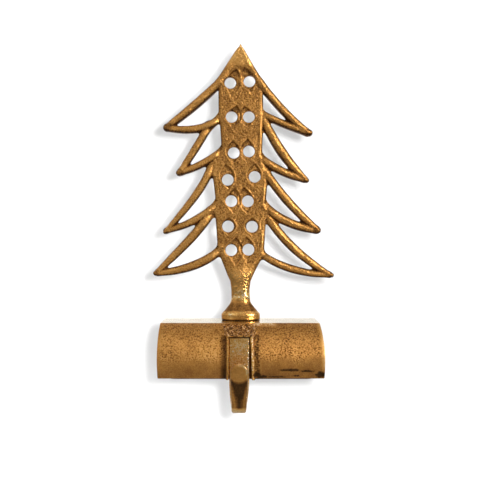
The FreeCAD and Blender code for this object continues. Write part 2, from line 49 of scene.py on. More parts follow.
# The camera stands level with the middle of the tree, two hand spans away, and looks straight back.
CAMERA_PLACE = Vector((-0.56, -423.35, 79.2)) * MM
LENS = 54.0
lens = bpy.data.cameras.new("photo_camera")
lens.lens = LENS
lens.sensor_width = 36.0
lens.clip_start = 0.01
camera = bpy.data.objects.new("photo_camera", lens)
camera.location = CAMERA_PLACE
camera.rotation_euler = (math.radians(90), 0, 0)
scene.collection.objects.link(camera)
scene.camera = camera

# A white card stands behind the holder and a pale grey floor lies well below its hook. The card shows
# only its front, so the holder can also be looked at from behind.
WALL_Y = 200.0
FLOOR_Z = -145.0
STAGE_REACH = 1500.0
WALL_GREY = 0.68
WALL_GLOW = 0.10  # added for the camera where the shadow falls
WALL_EDGE_GLOW = 0.52  # and further out, where the lamps fade
GLOW_FROM = 120.0  # it grows between these distances from behind the tree's middle
GLOW_TO = 200.0
WALL_SHINE = 0.08  # added in reflections
FLOOR_GREY = 0.35
FLOOR_GLOW = 0.8


def stage_card(name, corners):
    """One flat face through four corners, in millimetres."""
    mesh = bpy.data.meshes.new(name)
    mesh.from_pydata([tuple(c * MM for c in corner) for corner in corners], [], [(0, 1, 2, 3)])
    card = bpy.data.objects.new(name, mesh)
    scene.collection.objects.link(card)
    return card


def node_material(name):
    """A new material made of nodes, with its nodes and links."""
    material = bpy.data.materials.new(name)
    material.use_nodes = True
    return material, material.node_tree.nodes, material.node_tree.links


def card_material(name, grey, glow, edge_glow, shine):
    """Matt card that glows a little to the camera, more away from its middle, and in reflections, and is
    clear from behind."""
    material, nodes, links = node_material(name)
    nodes.clear()
    out = nodes.new("ShaderNodeOutputMaterial")
    matt = nodes.new("ShaderNodeBsdfDiffuse")
    matt.inputs["Color"].default_value = (grey, grey, grey, 1)
    light = nodes.new("ShaderNodeEmission")
    path = nodes.new("ShaderNodeLightPath")
    place = nodes.new("ShaderNodeTexCoord")
    away = nodes.new("ShaderNodeVectorMath")
    away.operation = "DISTANCE"
    away.inputs[1].default_value = (0, WALL_Y * MM, CAMERA_PLACE.z)
    outer = nodes.new("ShaderNodeMapRange")
    for name, value in (
        ("From Min", GLOW_FROM * MM), ("From Max", GLOW_TO * MM), ("To Min", glow), ("To Max", edge_glow),
    ):
        outer.inputs[name].default_value = value
    seen, mirrored, strength = (nodes.new("ShaderNodeMath") for _ in range(3))
    seen.operation = mirrored.operation = "MULTIPLY"
    strength.operation = "ADD"
    mirrored.inputs[1].default_value = shine
    both = nodes.new("ShaderNodeAddShader")
    clear = nodes.new("ShaderNodeBsdfTransparent")
    back = nodes.new("ShaderNodeNewGeometry")
    choose = nodes.new("ShaderNodeMixShader")
    for output, target in (
        (place.outputs["Object"], away.inputs[0]), (away.outputs["Value"], outer.inputs["Value"]),
        (path.outputs["Is Camera Ray"], seen.inputs[0]), (outer.outputs["Result"], seen.inputs[1]),
        (path.outputs["Is Glossy Ray"], mirrored.inputs[0]), (seen.outputs[0], strength.inputs[0]),
        (mirrored.outputs[0], strength.inputs[1]), (strength.outputs[0], light.inputs["Strength"]),
        (matt.outputs[0], both.inputs[0]), (light.outputs[0], both.inputs[1]),
        (back.outputs["Backfacing"], choose.inputs["Fac"]), (both.outputs[0], choose.inputs[1]),
        (clear.outputs[0], choose.inputs[2]), (choose.outputs[0], out.inputs["Surface"]),
    ):
        links.new(output, target)
    return material


far = STAGE_REACH
wall = stage_card("white_wall", [
    (-far, WALL_Y, FLOOR_Z), (far, WALL_Y, FLOOR_Z), (far, WALL_Y, far), (-far, WALL_Y, far),
])
floor = stage_card("white_floor", [
    (-far, -far, FLOOR_Z), (far, -far, FLOOR_Z), (far, far, FLOOR_Z), (-far, far, FLOOR_Z),
])
wall.data.materials.append(card_material("white_card", WALL_GREY, WALL_GLOW, WALL_EDGE_GLOW, WALL_SHINE))
floor.data.materials.append(card_material("pale_floor", FLOOR_GREY, FLOOR_GLOW, FLOOR_GLOW, 0.0))

# Studio light: a soft key high on the right, a weaker soft box over the camera's left shoulder, and a
# small lamp beside the lens that throws the holder's shadow on the card and leaves no glint on the brass.
# The room is even and pale above the horizon and a third as bright below.
KEY_POWER = 0.21
KEY_SPREAD = 40
LEFT_POWER = 0.08
SHADOW_POWER = 3.1
ROOM_BELOW = 0.25
ROOM_ABOVE = 0.75
HORIZON = (0.44, 0.56)  # where the room changes from one to the other, from 0 straight down to 1 up


def soft_lamp(name, place, aim, width, height, power):
    """A rectangular soft box at a place, turned towards a point, both in millimetres."""
    lamp = bpy.data.lights.new(name, "AREA")
    lamp.shape = "RECTANGLE"
    lamp.size = width * MM
    lamp.size_y = height * MM
    lamp.energy = power
    holder = bpy.data.objects.new(name, lamp)
    holder.location = Vector(place) * MM
    direction = (Vector(aim) - Vector(place)).normalized()
    holder.rotation_euler = direction.to_track_quat("-Z", "Y").to_euler()
    scene.collection.objects.link(holder)
    return holder


key = soft_lamp("key", (400, -400, 262), (0, 0, 90), 130, 330, KEY_POWER)
key.data.spread = math.radians(KEY_SPREAD)
soft_lamp("left_box", (-260, -430, 430), (0, 0, 70), 160, 220, LEFT_POWER)
shadow_lamp = soft_lamp("shadow_lamp", (19, -423, 89), (0, 200, 70), 15, 15, SHADOW_POWER)
shadow_lamp.visible_glossy = False

world = bpy.data.worlds.new("studio")
world.use_nodes = True
scene.world = world
w_nodes = world.node_tree.nodes
w_links = world.node_tree.links
w_shade = w_nodes["Background"]
w_place = w_nodes.new("ShaderNodeTexCoord")
w_split = w_nodes.new("ShaderNodeSeparateXYZ")
w_height = w_nodes.new("ShaderNodeMapRange")
w_ramp = w_nodes.new("ShaderNodeValToRGB")
w_path = w_nodes.new("ShaderNodeLightPath")
w_choose = w_nodes.new("ShaderNodeMix")
w_choose.data_type = "RGBA"
w_height.inputs["From Min"].default_value = -1.0
w_height.inputs["From Max"].default_value = 1.0
for element, position, level in zip(w_ramp.color_ramp.elements, HORIZON, (ROOM_BELOW, ROOM_ABOVE)):
    element.position = position
    element.color = (level, level, level, 1)
w_links.new(w_place.outputs["Generated"], w_split.inputs[0])
w_links.new(w_split.outputs["Z"], w_height.inputs["Value"])
w_links.new(w_height.outputs["Result"], w_ramp.inputs["Fac"])
w_links.new(w_path.outputs["Is Camera Ray"], w_choose.inputs["Factor"])
w_links.new(w_ramp.outputs["Color"], w_choose.inputs["A"])
w_choose.inputs["B"].default_value = (1, 1, 1, 1)
w_links.new(w_choose.outputs["Result"], w_shade.inputs["Color"])

# Base casting: a thick brass block cast in sand, its front one arc, its ends bowed, its back flat. A boss
# with a recess for the hook's shank stands in the middle of the front. The face keeps the sand's pits.
BASE_HALF = 47.2  # from the middle to either end, at the bulge
END_FALL_LEFT = 0.55  # how much each end falls in at the roof
END_FALL_RIGHT = 1.7
END_FALL_FOOT = 0.15  # and both at the foot
FOOT_Z = 1.0
ROOF_Z = 31.3
BACK_Y = 18.13
BULGE_Z = 11.5  # height of the front's foremost line
FRONT_RADIUS = 21.6
BULGE_Y = -20.86
BOSS_FACE_Y = -22.35
BOSS_LEFT = -8.0
BOSS_RIGHT = 7.4
BOSS_ROOF_FOOT = 25.7  # the boss's roof starts at this height
BOSS_ROOF_TOP = 30.9  # and reaches this one after running back as far as follows
BOSS_ROOF_RUN = 13.6
BOSS_FLARE = 0.20  # the flanks' growth sideways for each mm back
BOSS_ROUND = 1.2  # over its own edges
BOSS_FOOT_ROUND = 1.4  # and where it meets the block
RECESS_LEFT = -7.0
RECESS_RIGHT = 6.0
RECESS_TOP = 24.9
RECESS_FLOOR = -16.81
LIP_IN = -0.85  # lean of the recess's right side at its top
LIP_OUT = 0.25  # and at the foot
LIP_WIDTH = 1.0
BASE_GRID = 0.42  # between columns
LAST_COLUMN = 42.0  # beyond it the columns spread to the bowed ends
CREASE = 0.03  # half the gap of the close pair of columns at each side of the recess
CREASE_TURN = 0.0012  # the same for the pair of rows at its top, as an angle
END_ROUND = 0.45
END_POLE = (-1.0, 15.5)  # y and z of the point where the rows close over each end
# Flaws low on the front: x, z, half length, half height, depth.
BASE_FLAWS = [
    (27.4, 6.3, 6.0, 0.75, 0.30), (37.2, 5.7, 3.6, 0.55, 0.22), (31.0, 2.9, 2.4, 0.45, 0.16),
    (44.4, 3.6, 2.6, 2.0, 0.25), (20.4, 2.3, 5.0, 0.6, 0.14), (9.0, 3.6, 2.2, 1.5, 0.40),
    (12.0, 2.4, 2.6, 0.9, 0.30),
]


def lumps(points, size, seed):
    """Smooth unevenness from -1 to 1: the mean of forty waves of about one length in random directions."""
    rng = np.random.default_rng(seed)
    count = 40
    heading = rng.normal(size=(count, 3))
    heading /= np.linalg.norm(heading, axis=1)[:, None]
    heading *= (2 * math.pi / size) * rng.uniform(0.6, 1.5, count)[:, None]
    phase = rng.uniform(0, 2 * math.pi, count)
    total = np.zeros(points.shape[:-1])
    for wave, shift in zip(heading, phase):
        total += np.cos(points @ wave + shift)
    return np.clip(total / math.sqrt(count / 2) / 2, -1, 1)


def step(value, low, high):
    """Soft step from 0 at low to 1 at high."""
    share = np.clip((value - low) / (high - low), 0, 1)
    return share * share * (3 - 2 * share)


def soft_max(a, b, width):
    """Larger of two values, rounded over where they are within width of each other."""
    near = np.clip(1 - np.abs(a - b) / width, 0, 1)
    return np.maximum(a, b) + near * near * width / 4


def grid_faces(rows, columns, joined):
    """Corner numbers of the four-sided faces between the points of a grid whose last row meets the first,
    or whose last column does, as joined says."""
    index = np.arange(rows * columns).reshape(rows, columns)
    if joined == "rows":
        index = np.vstack([index, index[:1]])
    else:
        index = np.hstack([index, index[:, :1]])
    return np.stack([index[:-1, :-1], index[:-1, 1:], index[1:, 1:], index[1:, :-1]], axis=-1).reshape(-1, 4)


WELD = 0.001


def piece(name, points, faces, masks, material, replaced):
    """A smooth closed mesh piece from points in millimetres, with named masks on its points. Points that
    share a place become one."""
    mesh = bpy.data.meshes.new(name)
    mesh.from_pydata((points * MM).tolist(), [], [tuple(face) for face in faces])
    mesh.validate()
    mesh.polygons.foreach_set("use_smooth", np.ones(len(mesh.polygons), dtype=bool))
    for mask, values in masks.items():
        layer = mesh.attributes.new(mask, "FLOAT", "POINT")
        layer.data.foreach_set("value", np.clip(values, 0, 1).astype(np.float32).ravel())
    welded = bmesh.new()
    welded.from_mesh(mesh)
    bmesh.ops.remove_doubles(welded, verts=welded.verts, dist=WELD * MM)
    welded.to_mesh(mesh)
    welded.free()
    mesh.materials.append(material)
    body = bpy.data.objects.new(name, mesh)
    scene.collection.objects.link(body)
    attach(body, "root")
    if replaced:
        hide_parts(replaced)
    return body


GRAIN_SCALE = 2300  # texture scales, in cells to a metre
SAND_SCALE = 1200
CELL_SCALE = 900
CLOUD_SCALE = 95
CLOUD_TONE = 0.32  # how much each texture rubs or darkens
GRAIN_TONE = 0.5
SAND_TONE = 2.6
SAND_TONE_MOST = 0.10
HOLE_TONE = 0.45
SAND_HEIGHT = 4.0  # shares of the bump's height, beside the grain's
HOLE_HEIGHT = 0.9
ROUGH_DARK = 0.44  # roughness of dark patina and of rubbed brass
ROUGH_RUBBED = 0.26
# Colours of the brass from dark patina and painted shade to pale rubbed brass and painted highlight, each
# with its place on the ramp; the palest also paints the base roof's reflection.
BRASS_RAMP = [
    (0.0, (0.050, 0.024, 0.008, 1)), (0.28, (0.24, 0.105, 0.027, 1)), (0.52, (0.52, 0.245, 0.060, 1)),
    (0.72, (0.64, 0.34, 0.095, 1)), (0.88, (0.80, 0.52, 0.20, 1)), (1.0, (0.93, 0.82, 0.60, 1)),
]


def cast_finish_group():
    """Antiqued brass: dark, for patina and painted shade, where the mask of wear and painted light is low,
    pale, for rubbed brass and painted highlights, where it is high, with fine sand grain everywhere and dark
    pits by the amount of the mask Pits."""
    group = bpy.data.node_groups.new("antiqued_cast_brass", "ShaderNodeTree")
    face = group.interface
    for name, default in (("Wear_and_painted_light", 0.5), ("Pits", 0.0), ("Grain", 1.0)):
        socket = face.new_socket(name, in_out="INPUT", socket_type="NodeSocketFloat")
        socket.default_value = default
    for name, kind in (("Color", "Color"), ("Roughness", "Float"), ("Height", "Float")):
        face.new_socket(name, in_out="OUTPUT", socket_type="NodeSocket" + kind)
    nodes = group.nodes
    links = group.links
    source = nodes.new("NodeGroupInput")
    result = nodes.new("NodeGroupOutput")
    place = nodes.new("ShaderNodeTexCoord").outputs["Object"]

    def noise(scale, detail, rough):
        node = nodes.new("ShaderNodeTexNoise")
        node.inputs["Scale"].default_value = scale
        node.inputs["Detail"].default_value = detail
        node.inputs["Roughness"].default_value = rough
        links.new(place, node.inputs["Vector"])
        return node.outputs["Fac"]

    def math_node(operation, a, b):
        node = nodes.new("ShaderNodeMath")
        node.operation = operation
        for socket, value in ((node.inputs[0], a), (node.inputs[1], b)):
            if isinstance(value, (int, float)):
                socket.default_value = value
            else:
                links.new(value, socket)
        return node.outputs[0]

    def spread(value, low, high, out_low=0.0, out_high=1.0):
        node = nodes.new("ShaderNodeMapRange")
        node.interpolation_type = "SMOOTHSTEP"
        links.new(value, node.inputs["Value"])
        node.inputs["From Min"].default_value = low
        node.inputs["From Max"].default_value = high
        node.inputs["To Min"].default_value = out_low
        node.inputs["To Max"].default_value = out_high
        return node.outputs["Result"]

    def scaled(value, factor):
        return math_node("MULTIPLY", value, factor)

    grain = noise(GRAIN_SCALE, 3.0, 0.6)
    sand = noise(SAND_SCALE, 2.0, 0.55)
    cloud = noise(CLOUD_SCALE, 4.0, 0.6)
    cell = nodes.new("ShaderNodeTexVoronoi")
    cell.inputs["Scale"].default_value = CELL_SCALE
    cell.inputs["Randomness"].default_value = 1.0
    links.new(place, cell.inputs["Vector"])
    near_cell = spread(cell.outputs["Distance"], 0.10, 0.42, 1.0, 0.0)
    hole = scaled(scaled(near_cell, spread(sand, 0.58, 0.42)), source.outputs["Pits"])
    rise = scaled(math_node("SUBTRACT", sand, 0.5), source.outputs["Pits"])

    # How light a spot is painted: its mask of wear and painted light, mottled by the clouds, the sand's grain
    # and the pits.
    wear_and_painted_light = math_node("ADD", source.outputs["Wear_and_painted_light"], scaled(math_node("SUBTRACT", cloud, 0.5), CLOUD_TONE))
    wear_and_painted_light = math_node("ADD", wear_and_painted_light, scaled(math_node("SUBTRACT", grain, 0.5), GRAIN_TONE))
    wear_and_painted_light = math_node("ADD", wear_and_painted_light, math_node("MINIMUM", scaled(rise, SAND_TONE), SAND_TONE_MOST))
    wear_and_painted_light = math_node("SUBTRACT", wear_and_painted_light, scaled(hole, HOLE_TONE))
    tone = nodes.new("ShaderNodeValToRGB")
    ramp = tone.color_ramp
    for position, _ in BRASS_RAMP[1:-1]:
        ramp.elements.new(position)
    for element, (position, colour) in zip(ramp.elements, BRASS_RAMP):
        element.position = position
        element.color = colour
    links.new(wear_and_painted_light, tone.inputs["Fac"])
    links.new(tone.outputs["Color"], result.inputs["Color"])

    links.new(spread(wear_and_painted_light, 0.1, 1.0, ROUGH_DARK, ROUGH_RUBBED), result.inputs["Roughness"])
    height = scaled(grain, source.outputs["Grain"])
    height = math_node("ADD", height, scaled(rise, SAND_HEIGHT))
    height = math_node("SUBTRACT", height, scaled(hole, HOLE_HEIGHT))
    links.new(height, result.inputs["Height"])
    return group


CAST_FINISH = cast_finish_group()


POLISHED = 0.3  # a fully polished spot's roughness, as a share of the dull one's


def cast_brass(name, grain, dull, bump_mm):
    """Brass for one casting: the finish group fed by the piece's masks, its roughness times dull and less
    where the mask polish is high, and its height as bump."""
    material, nodes, links = node_material(name)
    shader = nodes["Principled BSDF"]
    shader.inputs["Metallic"].default_value = 1.0
    finish = nodes.new("ShaderNodeGroup")
    finish.node_tree = CAST_FINISH
    finish.inputs["Grain"].default_value = grain
    masks = {}
    for mask in ("wear_and_painted_light", "pits", "polish"):
        masks[mask] = nodes.new("ShaderNodeAttribute")
        masks[mask].attribute_name = mask
    links.new(masks["wear_and_painted_light"].outputs["Fac"], finish.inputs["Wear_and_painted_light"])
    links.new(masks["pits"].outputs["Fac"], finish.inputs["Pits"])
    gloss = nodes.new("ShaderNodeMapRange")
    gloss.inputs["To Min"].default_value = dull
    gloss.inputs["To Max"].default_value = POLISHED * dull
    matt = nodes.new("ShaderNodeMath")
    matt.operation = "MULTIPLY"
    links.new(masks["polish"].outputs["Fac"], gloss.inputs["Value"])
    links.new(gloss.outputs["Result"], matt.inputs[1])
    bump = nodes.new("ShaderNodeBump")
    bump.inputs["Strength"].default_value = 1.0
    bump.inputs["Distance"].default_value = bump_mm * MM
    links.new(finish.outputs["Height"], bump.inputs["Height"])
    links.new(bump.outputs["Normal"], shader.inputs["Normal"])
    links.new(finish.outputs["Color"], shader.inputs["Base Color"])
    links.new(finish.outputs["Roughness"], matt.inputs[0])
    links.new(matt.outputs[0], shader.inputs["Roughness"])
    return material


def base_profile():
    """Side view of the block as one closed line of y and z: arc up the front, roof, back and underside.
    Also returns how many of its points are on the front."""
    centre_y = BULGE_Y + FRONT_RADIUS
    low = math.asin((FOOT_Z - BULGE_Z) / FRONT_RADIUS)
    high = math.asin((ROOF_Z - BULGE_Z) / FRONT_RADIUS)
    turn = np.linspace(low, high, 91)
    edge = math.asin((RECESS_TOP - BULGE_Z) / FRONT_RADIUS)
    near = np.argmin(np.abs(turn - edge))
    turn[near] = edge - CREASE_TURN
    turn[near + 1] = edge + CREASE_TURN
    front = np.column_stack([centre_y - FRONT_RADIUS * np.cos(turn), BULGE_Z + FRONT_RADIUS * np.sin(turn)])
    roof_y = np.linspace(front[-1, 0], BACK_Y, 56)[1:]
    roof = np.column_stack([roof_y, np.full(len(roof_y), ROOF_Z)])
    back_z = np.linspace(ROOF_Z, FOOT_Z, 40)[1:]
    back = np.column_stack([np.full(len(back_z), BACK_Y), back_z])
    under_y = np.linspace(BACK_Y, front[0, 0], 30)[1:-1]
    under = np.column_stack([under_y, np.full(len(under_y), FOOT_Z)])
    return np.vstack([front, roof, back, under]), len(front)


def base_columns():
    """Places across the block, from left to right, with a close pair at each side of the recess."""
    x = np.arange(-LAST_COLUMN, LAST_COLUMN + 0.01, BASE_GRID)
    for side in (RECESS_LEFT, RECESS_RIGHT):
        x = x[np.abs(x - side) > 0.25]
        x = np.append(x, [side - CREASE, side + CREASE])
    return np.sort(x)


def half_width(z, side):
    """From the block's middle to its end on one side, at height z: a shallow bow, widest at the bulge."""
    below = END_FALL_FOOT * ((BULGE_Z - z) / (BULGE_Z - FOOT_Z)) ** 2
    fall = np.where(side < 0, END_FALL_LEFT, END_FALL_RIGHT)
    above = fall * ((z - BULGE_Z) / (ROOF_Z - BULGE_Z)) ** 2
    return BASE_HALF - np.where(z < BULGE_Z, below, above)


def front_of_base(x, y, z):
    """The front with its boss and recess: at each x and z the foremost of arc and boss, cut back in the
    recess. The boss is an upright face, a roof that slopes back and flanks that flare. Returns the new y,
    how far each spot stands on the boss, and which are in the recess."""
    roof = BOSS_FACE_Y + (z - BOSS_ROOF_FOOT) * BOSS_ROOF_RUN / (BOSS_ROOF_TOP - BOSS_ROOF_FOOT)
    past = np.maximum(BOSS_LEFT - x, x - BOSS_RIGHT)
    flank = BOSS_FACE_Y + past / BOSS_FLARE
    boss_y = soft_max(soft_max(np.full_like(z, BOSS_FACE_Y), roof, BOSS_ROUND), flank, BOSS_ROUND)
    front = -soft_max(-y, -boss_y, BOSS_FOOT_ROUND)
    recess = (x > RECESS_LEFT) & (x < RECESS_RIGHT) & (z < RECESS_TOP)
    on_boss = step(y - front, 0.05, 0.8)
    return np.where(recess, RECESS_FLOOR, np.maximum(front, BOSS_FACE_Y)), on_boss, recess


def base_mesh():
    """Rows follow the side view, its corners softened by a running mean, and columns run across. Past the
    last column the rows spread to the bowed end, turn in over its rounded edge and close to a point."""
    line, front_rows = base_profile()
    for _ in range(2):
        mean = (np.roll(line, 1, axis=0) + 2 * line + np.roll(line, -1, axis=0)) / 4
        sharp = np.linalg.norm(mean - line, axis=1) > 0.02
        line = np.where(sharp[:, None], mean, line)
    ahead = np.roll(line, -1, axis=0) - np.roll(line, 1, axis=0)
    outward = np.column_stack([-ahead[:, 1], ahead[:, 0]]) / np.linalg.norm(ahead, axis=1)[:, None]
    columns = base_columns()
    ring = [(0.0, share) for share in np.linspace(0, 1, 7)[1:]]
    ring += [(turn, 1.0) for turn in np.radians(np.linspace(0, 90, 6))[1:]]
    ring += [(math.pi / 2, 1.0 + share) for share in np.linspace(0, 1, 34)[1:]]

    def end_ring(side, turn, share):
        """One ring past the last column: outward up to share 1, round the edge by turn, then inward."""
        flat = half_width(line[:, 1], side) - END_ROUND
        pull = max(share - 1.0, 0.0)
        place = line - outward * (END_ROUND * (1 - math.cos(turn)))
        place = place + (np.array(END_POLE) - place) * pull
        if pull > 0:
            x = half_width(place[:, 1], side)
        elif turn == 0:
            x = LAST_COLUMN + (flat - LAST_COLUMN) * share
        else:
            x = flat + END_ROUND * math.sin(turn)
        return np.column_stack([side * x, place])

    blocks = [end_ring(-1, turn, share) for turn, share in reversed(ring)]
    blocks += [np.column_stack([np.full(len(line), x), line]) for x in columns]
    blocks += [end_ring(1, turn, share) for turn, share in ring]
    points = np.stack(blocks, axis=1)
    x, y, z = points[..., 0], points[..., 1], points[..., 2]
    on_front = np.zeros(points.shape[:2], bool)
    on_front[:front_rows] = True
    in_block = np.zeros(points.shape[:2], bool)
    in_block[:, len(ring):len(ring) + len(columns)] = True
    shaped, on_boss, recess = front_of_base(x, y, z)
    use = on_front & in_block
    lean = LIP_IN + (LIP_OUT - LIP_IN) * (RECESS_TOP - z) / (RECESS_TOP - FOOT_Z)
    x += np.where(use, lean * step(np.abs(x - RECESS_RIGHT), 4.5, 1.2), 0)
    y[:] = np.where(use, shaped, y)
    boss = np.where(use, on_boss, 0) * (z > 2)
    pocket = use & recess

    # Surface of the cast: flaws low on the right, sand dents above, and beads hammered into the boss.
    flaw = np.zeros(points.shape[:2])
    ragged = 1 + 0.35 * lumps(points, 1.6, 11)
    for cx, cz, long, tall, depth in BASE_FLAWS:
        away = ((x - cx) / long) ** 2 + ((z - cz) / tall) ** 2
        flaw = np.maximum(flaw, on_front * depth * step(1.25 * ragged - away, 0.0, 0.9))
    patch = lumps(points, 16.0, 4)
    from_end = half_width(z, x) - np.abs(x)
    sand = step(z + 1.8 * patch, 10.5, 13.5) * (0.72 + 0.28 * patch) * step(from_end, 1.0, 2.6)
    dent = 0.10 + 0.03 * lumps(points, 7.0, 1) + (0.010 + 0.055 * sand) * lumps(points, 1.35, 2)
    right_edge = RECESS_RIGHT + LIP_WIDTH
    above = step(z, RECESS_TOP, RECESS_TOP + 0.8)
    hammered = boss * np.maximum(above, step(x, right_edge, right_edge + 0.6)) * (z < ROOF_Z - 0.4)
    beads = lumps(points, 1.35, 3)
    dent = dent + hammered * (0.17 + 0.17 * beads)
    dent = np.where(pocket, 0.02, dent + flaw)
    y += np.where(on_front, dent, 0)
    z += np.where(on_front, 0.30 * hammered * above * (beads - 0.4), 0)
    for pole in (0, -1):
        points[:, pole] = points[:, pole].mean(axis=0)

    # Pits from 0 to 1, and wear and painted light from 0, dark, for patina and painted shade, to 1, pale, for
    # rubbed brass and painted highlights.
    roof = ~on_front & (z > ROOF_Z - 0.3)
    pits = np.where(on_front, 0.06 + np.maximum(0.62 * sand, 0.94 * boss * step(z, 20, 25)), 0.25)
    pits = np.where(roof | pocket, 0.0, pits)
    # Paler on the sand, dark in the flaws and mottled; painted shade low on the front, below the bulge, and
    # over the front's right half.
    wear_and_painted_light = 0.485 + 0.04 * sand - 2.2 * flaw + 0.03 * lumps(points, 9.0, 5) - 0.06 * step(z, 12, 4)
    wear_and_painted_light = wear_and_painted_light - 0.07 * on_front * step(x, 6, 14)
    # A painted highlight along the front's top edge, right of the boss.
    wear_and_painted_light = wear_and_painted_light + 0.42 * on_front * step(z, 29.0, 30.6) * step(np.abs(x - 13.5), 9.0, 4.0)
    # Painted highlights on both lips, painted shade on the left flank and in the recess; the right flank is
    # darkened by patina.
    below = use & (z < RECESS_TOP + 0.5)
    lit_left_lip = below * step(0.75 - np.abs(x - (BOSS_LEFT + RECESS_LEFT) / 2), 0.0, 0.3)
    lit_right_lip = below * step(0.8 - np.abs(x - (right_edge + RECESS_RIGHT) / 2), 0.0, 0.3)
    shaded_left_flank = below * step(x, BOSS_LEFT - 4.6, BOSS_LEFT - 1.6) * step(x, BOSS_LEFT - 0.1, BOSS_LEFT - 0.7)
    right_flank = below * step(1.8 - np.abs(x - right_edge - 2.0), 0.0, 0.8)
    wear_and_painted_light = wear_and_painted_light + 0.12 * lit_left_lip + (0.34 - 0.25 * beads) * lit_right_lip - 0.30 * pocket
    wear_and_painted_light = wear_and_painted_light - 0.34 * shaded_left_flank - (0.26 + 0.35 * beads) * right_flank
    wear_and_painted_light = wear_and_painted_light - hammered * above * (0.02 + 0.75 * beads)
    # A painted highlight along the right end's rim.
    wear_and_painted_light = wear_and_painted_light + 0.38 * step(from_end, 2.4, 0.6) * on_front * (x > 0) * step(z, 3, 9)
    # The roof is polished brass, painted paler than rubbed brass as a painted reflection of the pale room.
    wear_and_painted_light = np.where(roof, 1.0, wear_and_painted_light)
    masks = {"wear_and_painted_light": wear_and_painted_light.ravel(), "pits": pits.ravel(), "polish": roof.ravel().astype(float)}
    return points.reshape(-1, 3), grid_faces(*points.shape[:2], "rows"), masks


base_points, base_faces, base_masks = base_mesh()
base_brass = cast_brass("base_brass", 0.5, 1.4, 0.15)
piece("base_block", base_points, base_faces, base_masks, base_brass, "base_casting")

# Tree: one flat casting of eighteen half-round bars round a flat trunk. The bars of each bough run side by
# side into a blunt tip, and the trunk has fourteen round holes, each in a shallow hollow like a leaf.
TREE_BACK_Y = 12.08
# Bars of the tree: start, middle and end of the middle line as x, z, then the widths there. The shoulders
# run down from the point, and the top boughs' upper bars go on from them.
SHOULDERS = [
    ((-0.4, 195.0), (-5.7, 185.4), (-13.2, 173.4), (1.7, 4.2, 5.4)),
    ((0.0, 195.0), (4.6, 185.1), (12.6, 171.9), (1.7, 4.2, 5.1)),
    ((-12.0, 174.6), (-29.0, 159.2), (-43.5, 147.9), (5.2, 5.3, 3.6)),
    ((10.8, 174.6), (25.5, 157.0), (40.2, 144.0), (5.1, 4.9, 3.8)),
]
UPPER_BARS = [
    ((-19.2, 147.9), (-27.6, 133.8), (-36.3, 120.6), (4.8, 4.7, 3.3)),
    ((-17.4, 125.4), (-26.1, 107.7), (-45.1, 84.7), (4.8, 4.9, 2.4)),
    ((-18.0, 95.7), (-30.0, 80.3), (-50.1, 60.3), (5.4, 5.5, 3.0)),
    ((13.5, 152.1), (24.6, 132.1), (38.4, 116.1), (4.8, 6.0, 3.2)),
    ((12.6, 123.6), (27.3, 103.5), (45.3, 85.9), (4.8, 5.4, 3.8)),
    ((16.2, 93.0), (32.1, 73.9), (53.1, 58.7), (5.2, 5.4, 2.8)),
]
LOWER_BARS = [
    ((-13.2, 152.7), (-24.6, 146.4), (-43.8, 146.2), (4.2, 4.9, 3.6)),
    ((-11.4, 133.2), (-22.8, 125.3), (-36.6, 119.7), (4.2, 4.5, 3.6)),
    ((-14.4, 100.8), (-27.0, 91.5), (-45.0, 84.4), (4.8, 4.8, 2.5)),
    ((-11.4, 74.4), (-27.0, 64.4), (-49.8, 59.2), (5.1, 5.5, 3.4)),
    ((13.2, 154.8), (25.8, 149.0), (39.9, 143.6), (4.2, 4.4, 3.5)),
    ((12.0, 128.7), (22.8, 121.5), (38.1, 115.2), (4.8, 5.2, 2.9)),
    ((14.1, 99.9), (27.0, 90.6), (45.3, 84.8), (5.4, 5.6, 3.8)),
    ((12.3, 70.8), (30.0, 62.0), (53.4, 58.0), (4.2, 4.9, 2.8)),
]
# Blunt ends of the boughs and the tree's point: x, z, radius.
TIPS = [
    (-44.3, 146.8, 2.5), (-37.1, 119.6, 2.0), (-45.5, 84.1, 1.35), (-51.1, 59.3, 1.6),
    (41.1, 143.6, 2.0), (39.5, 115.0, 1.5), (46.0, 85.1, 2.1), (54.5, 58.1, 1.35), (-0.2, 195.9, 0.65),
]
# The trunk's outline, down the left and up the right.
TRUNK = [
    (-0.2, 195.2), (-12.0, 176.0), (-13.6, 171.0), (-13.4, 152.0), (-12.6, 149.0), (-11.6, 133.5),
    (-17.0, 127.5), (-17.8, 118.0), (-16.8, 116.0), (-14.9, 101.0), (-17.0, 96.5), (-16.0, 93.5),
    (-15.2, 92.0), (-13.9, 73.0), (-12.6, 69.6), (-9.6, 62.0), (-7.9, 57.6), (-6.4, 54.5), (-5.8, 49.0),
    (-5.6, 44.0), (5.0, 44.0), (5.2, 49.0), (5.8, 54.3), (7.2, 57.6), (9.1, 61.6), (12.3, 67.6),
    (13.9, 71.0), (14.9, 90.5), (17.0, 95.5), (14.9, 101.0), (16.1, 115.5), (15.5, 118.0), (14.0, 126.0),
    (12.7, 129.5), (13.3, 145.0), (13.4, 154.5), (13.3, 168.0), (11.8, 174.0),
]
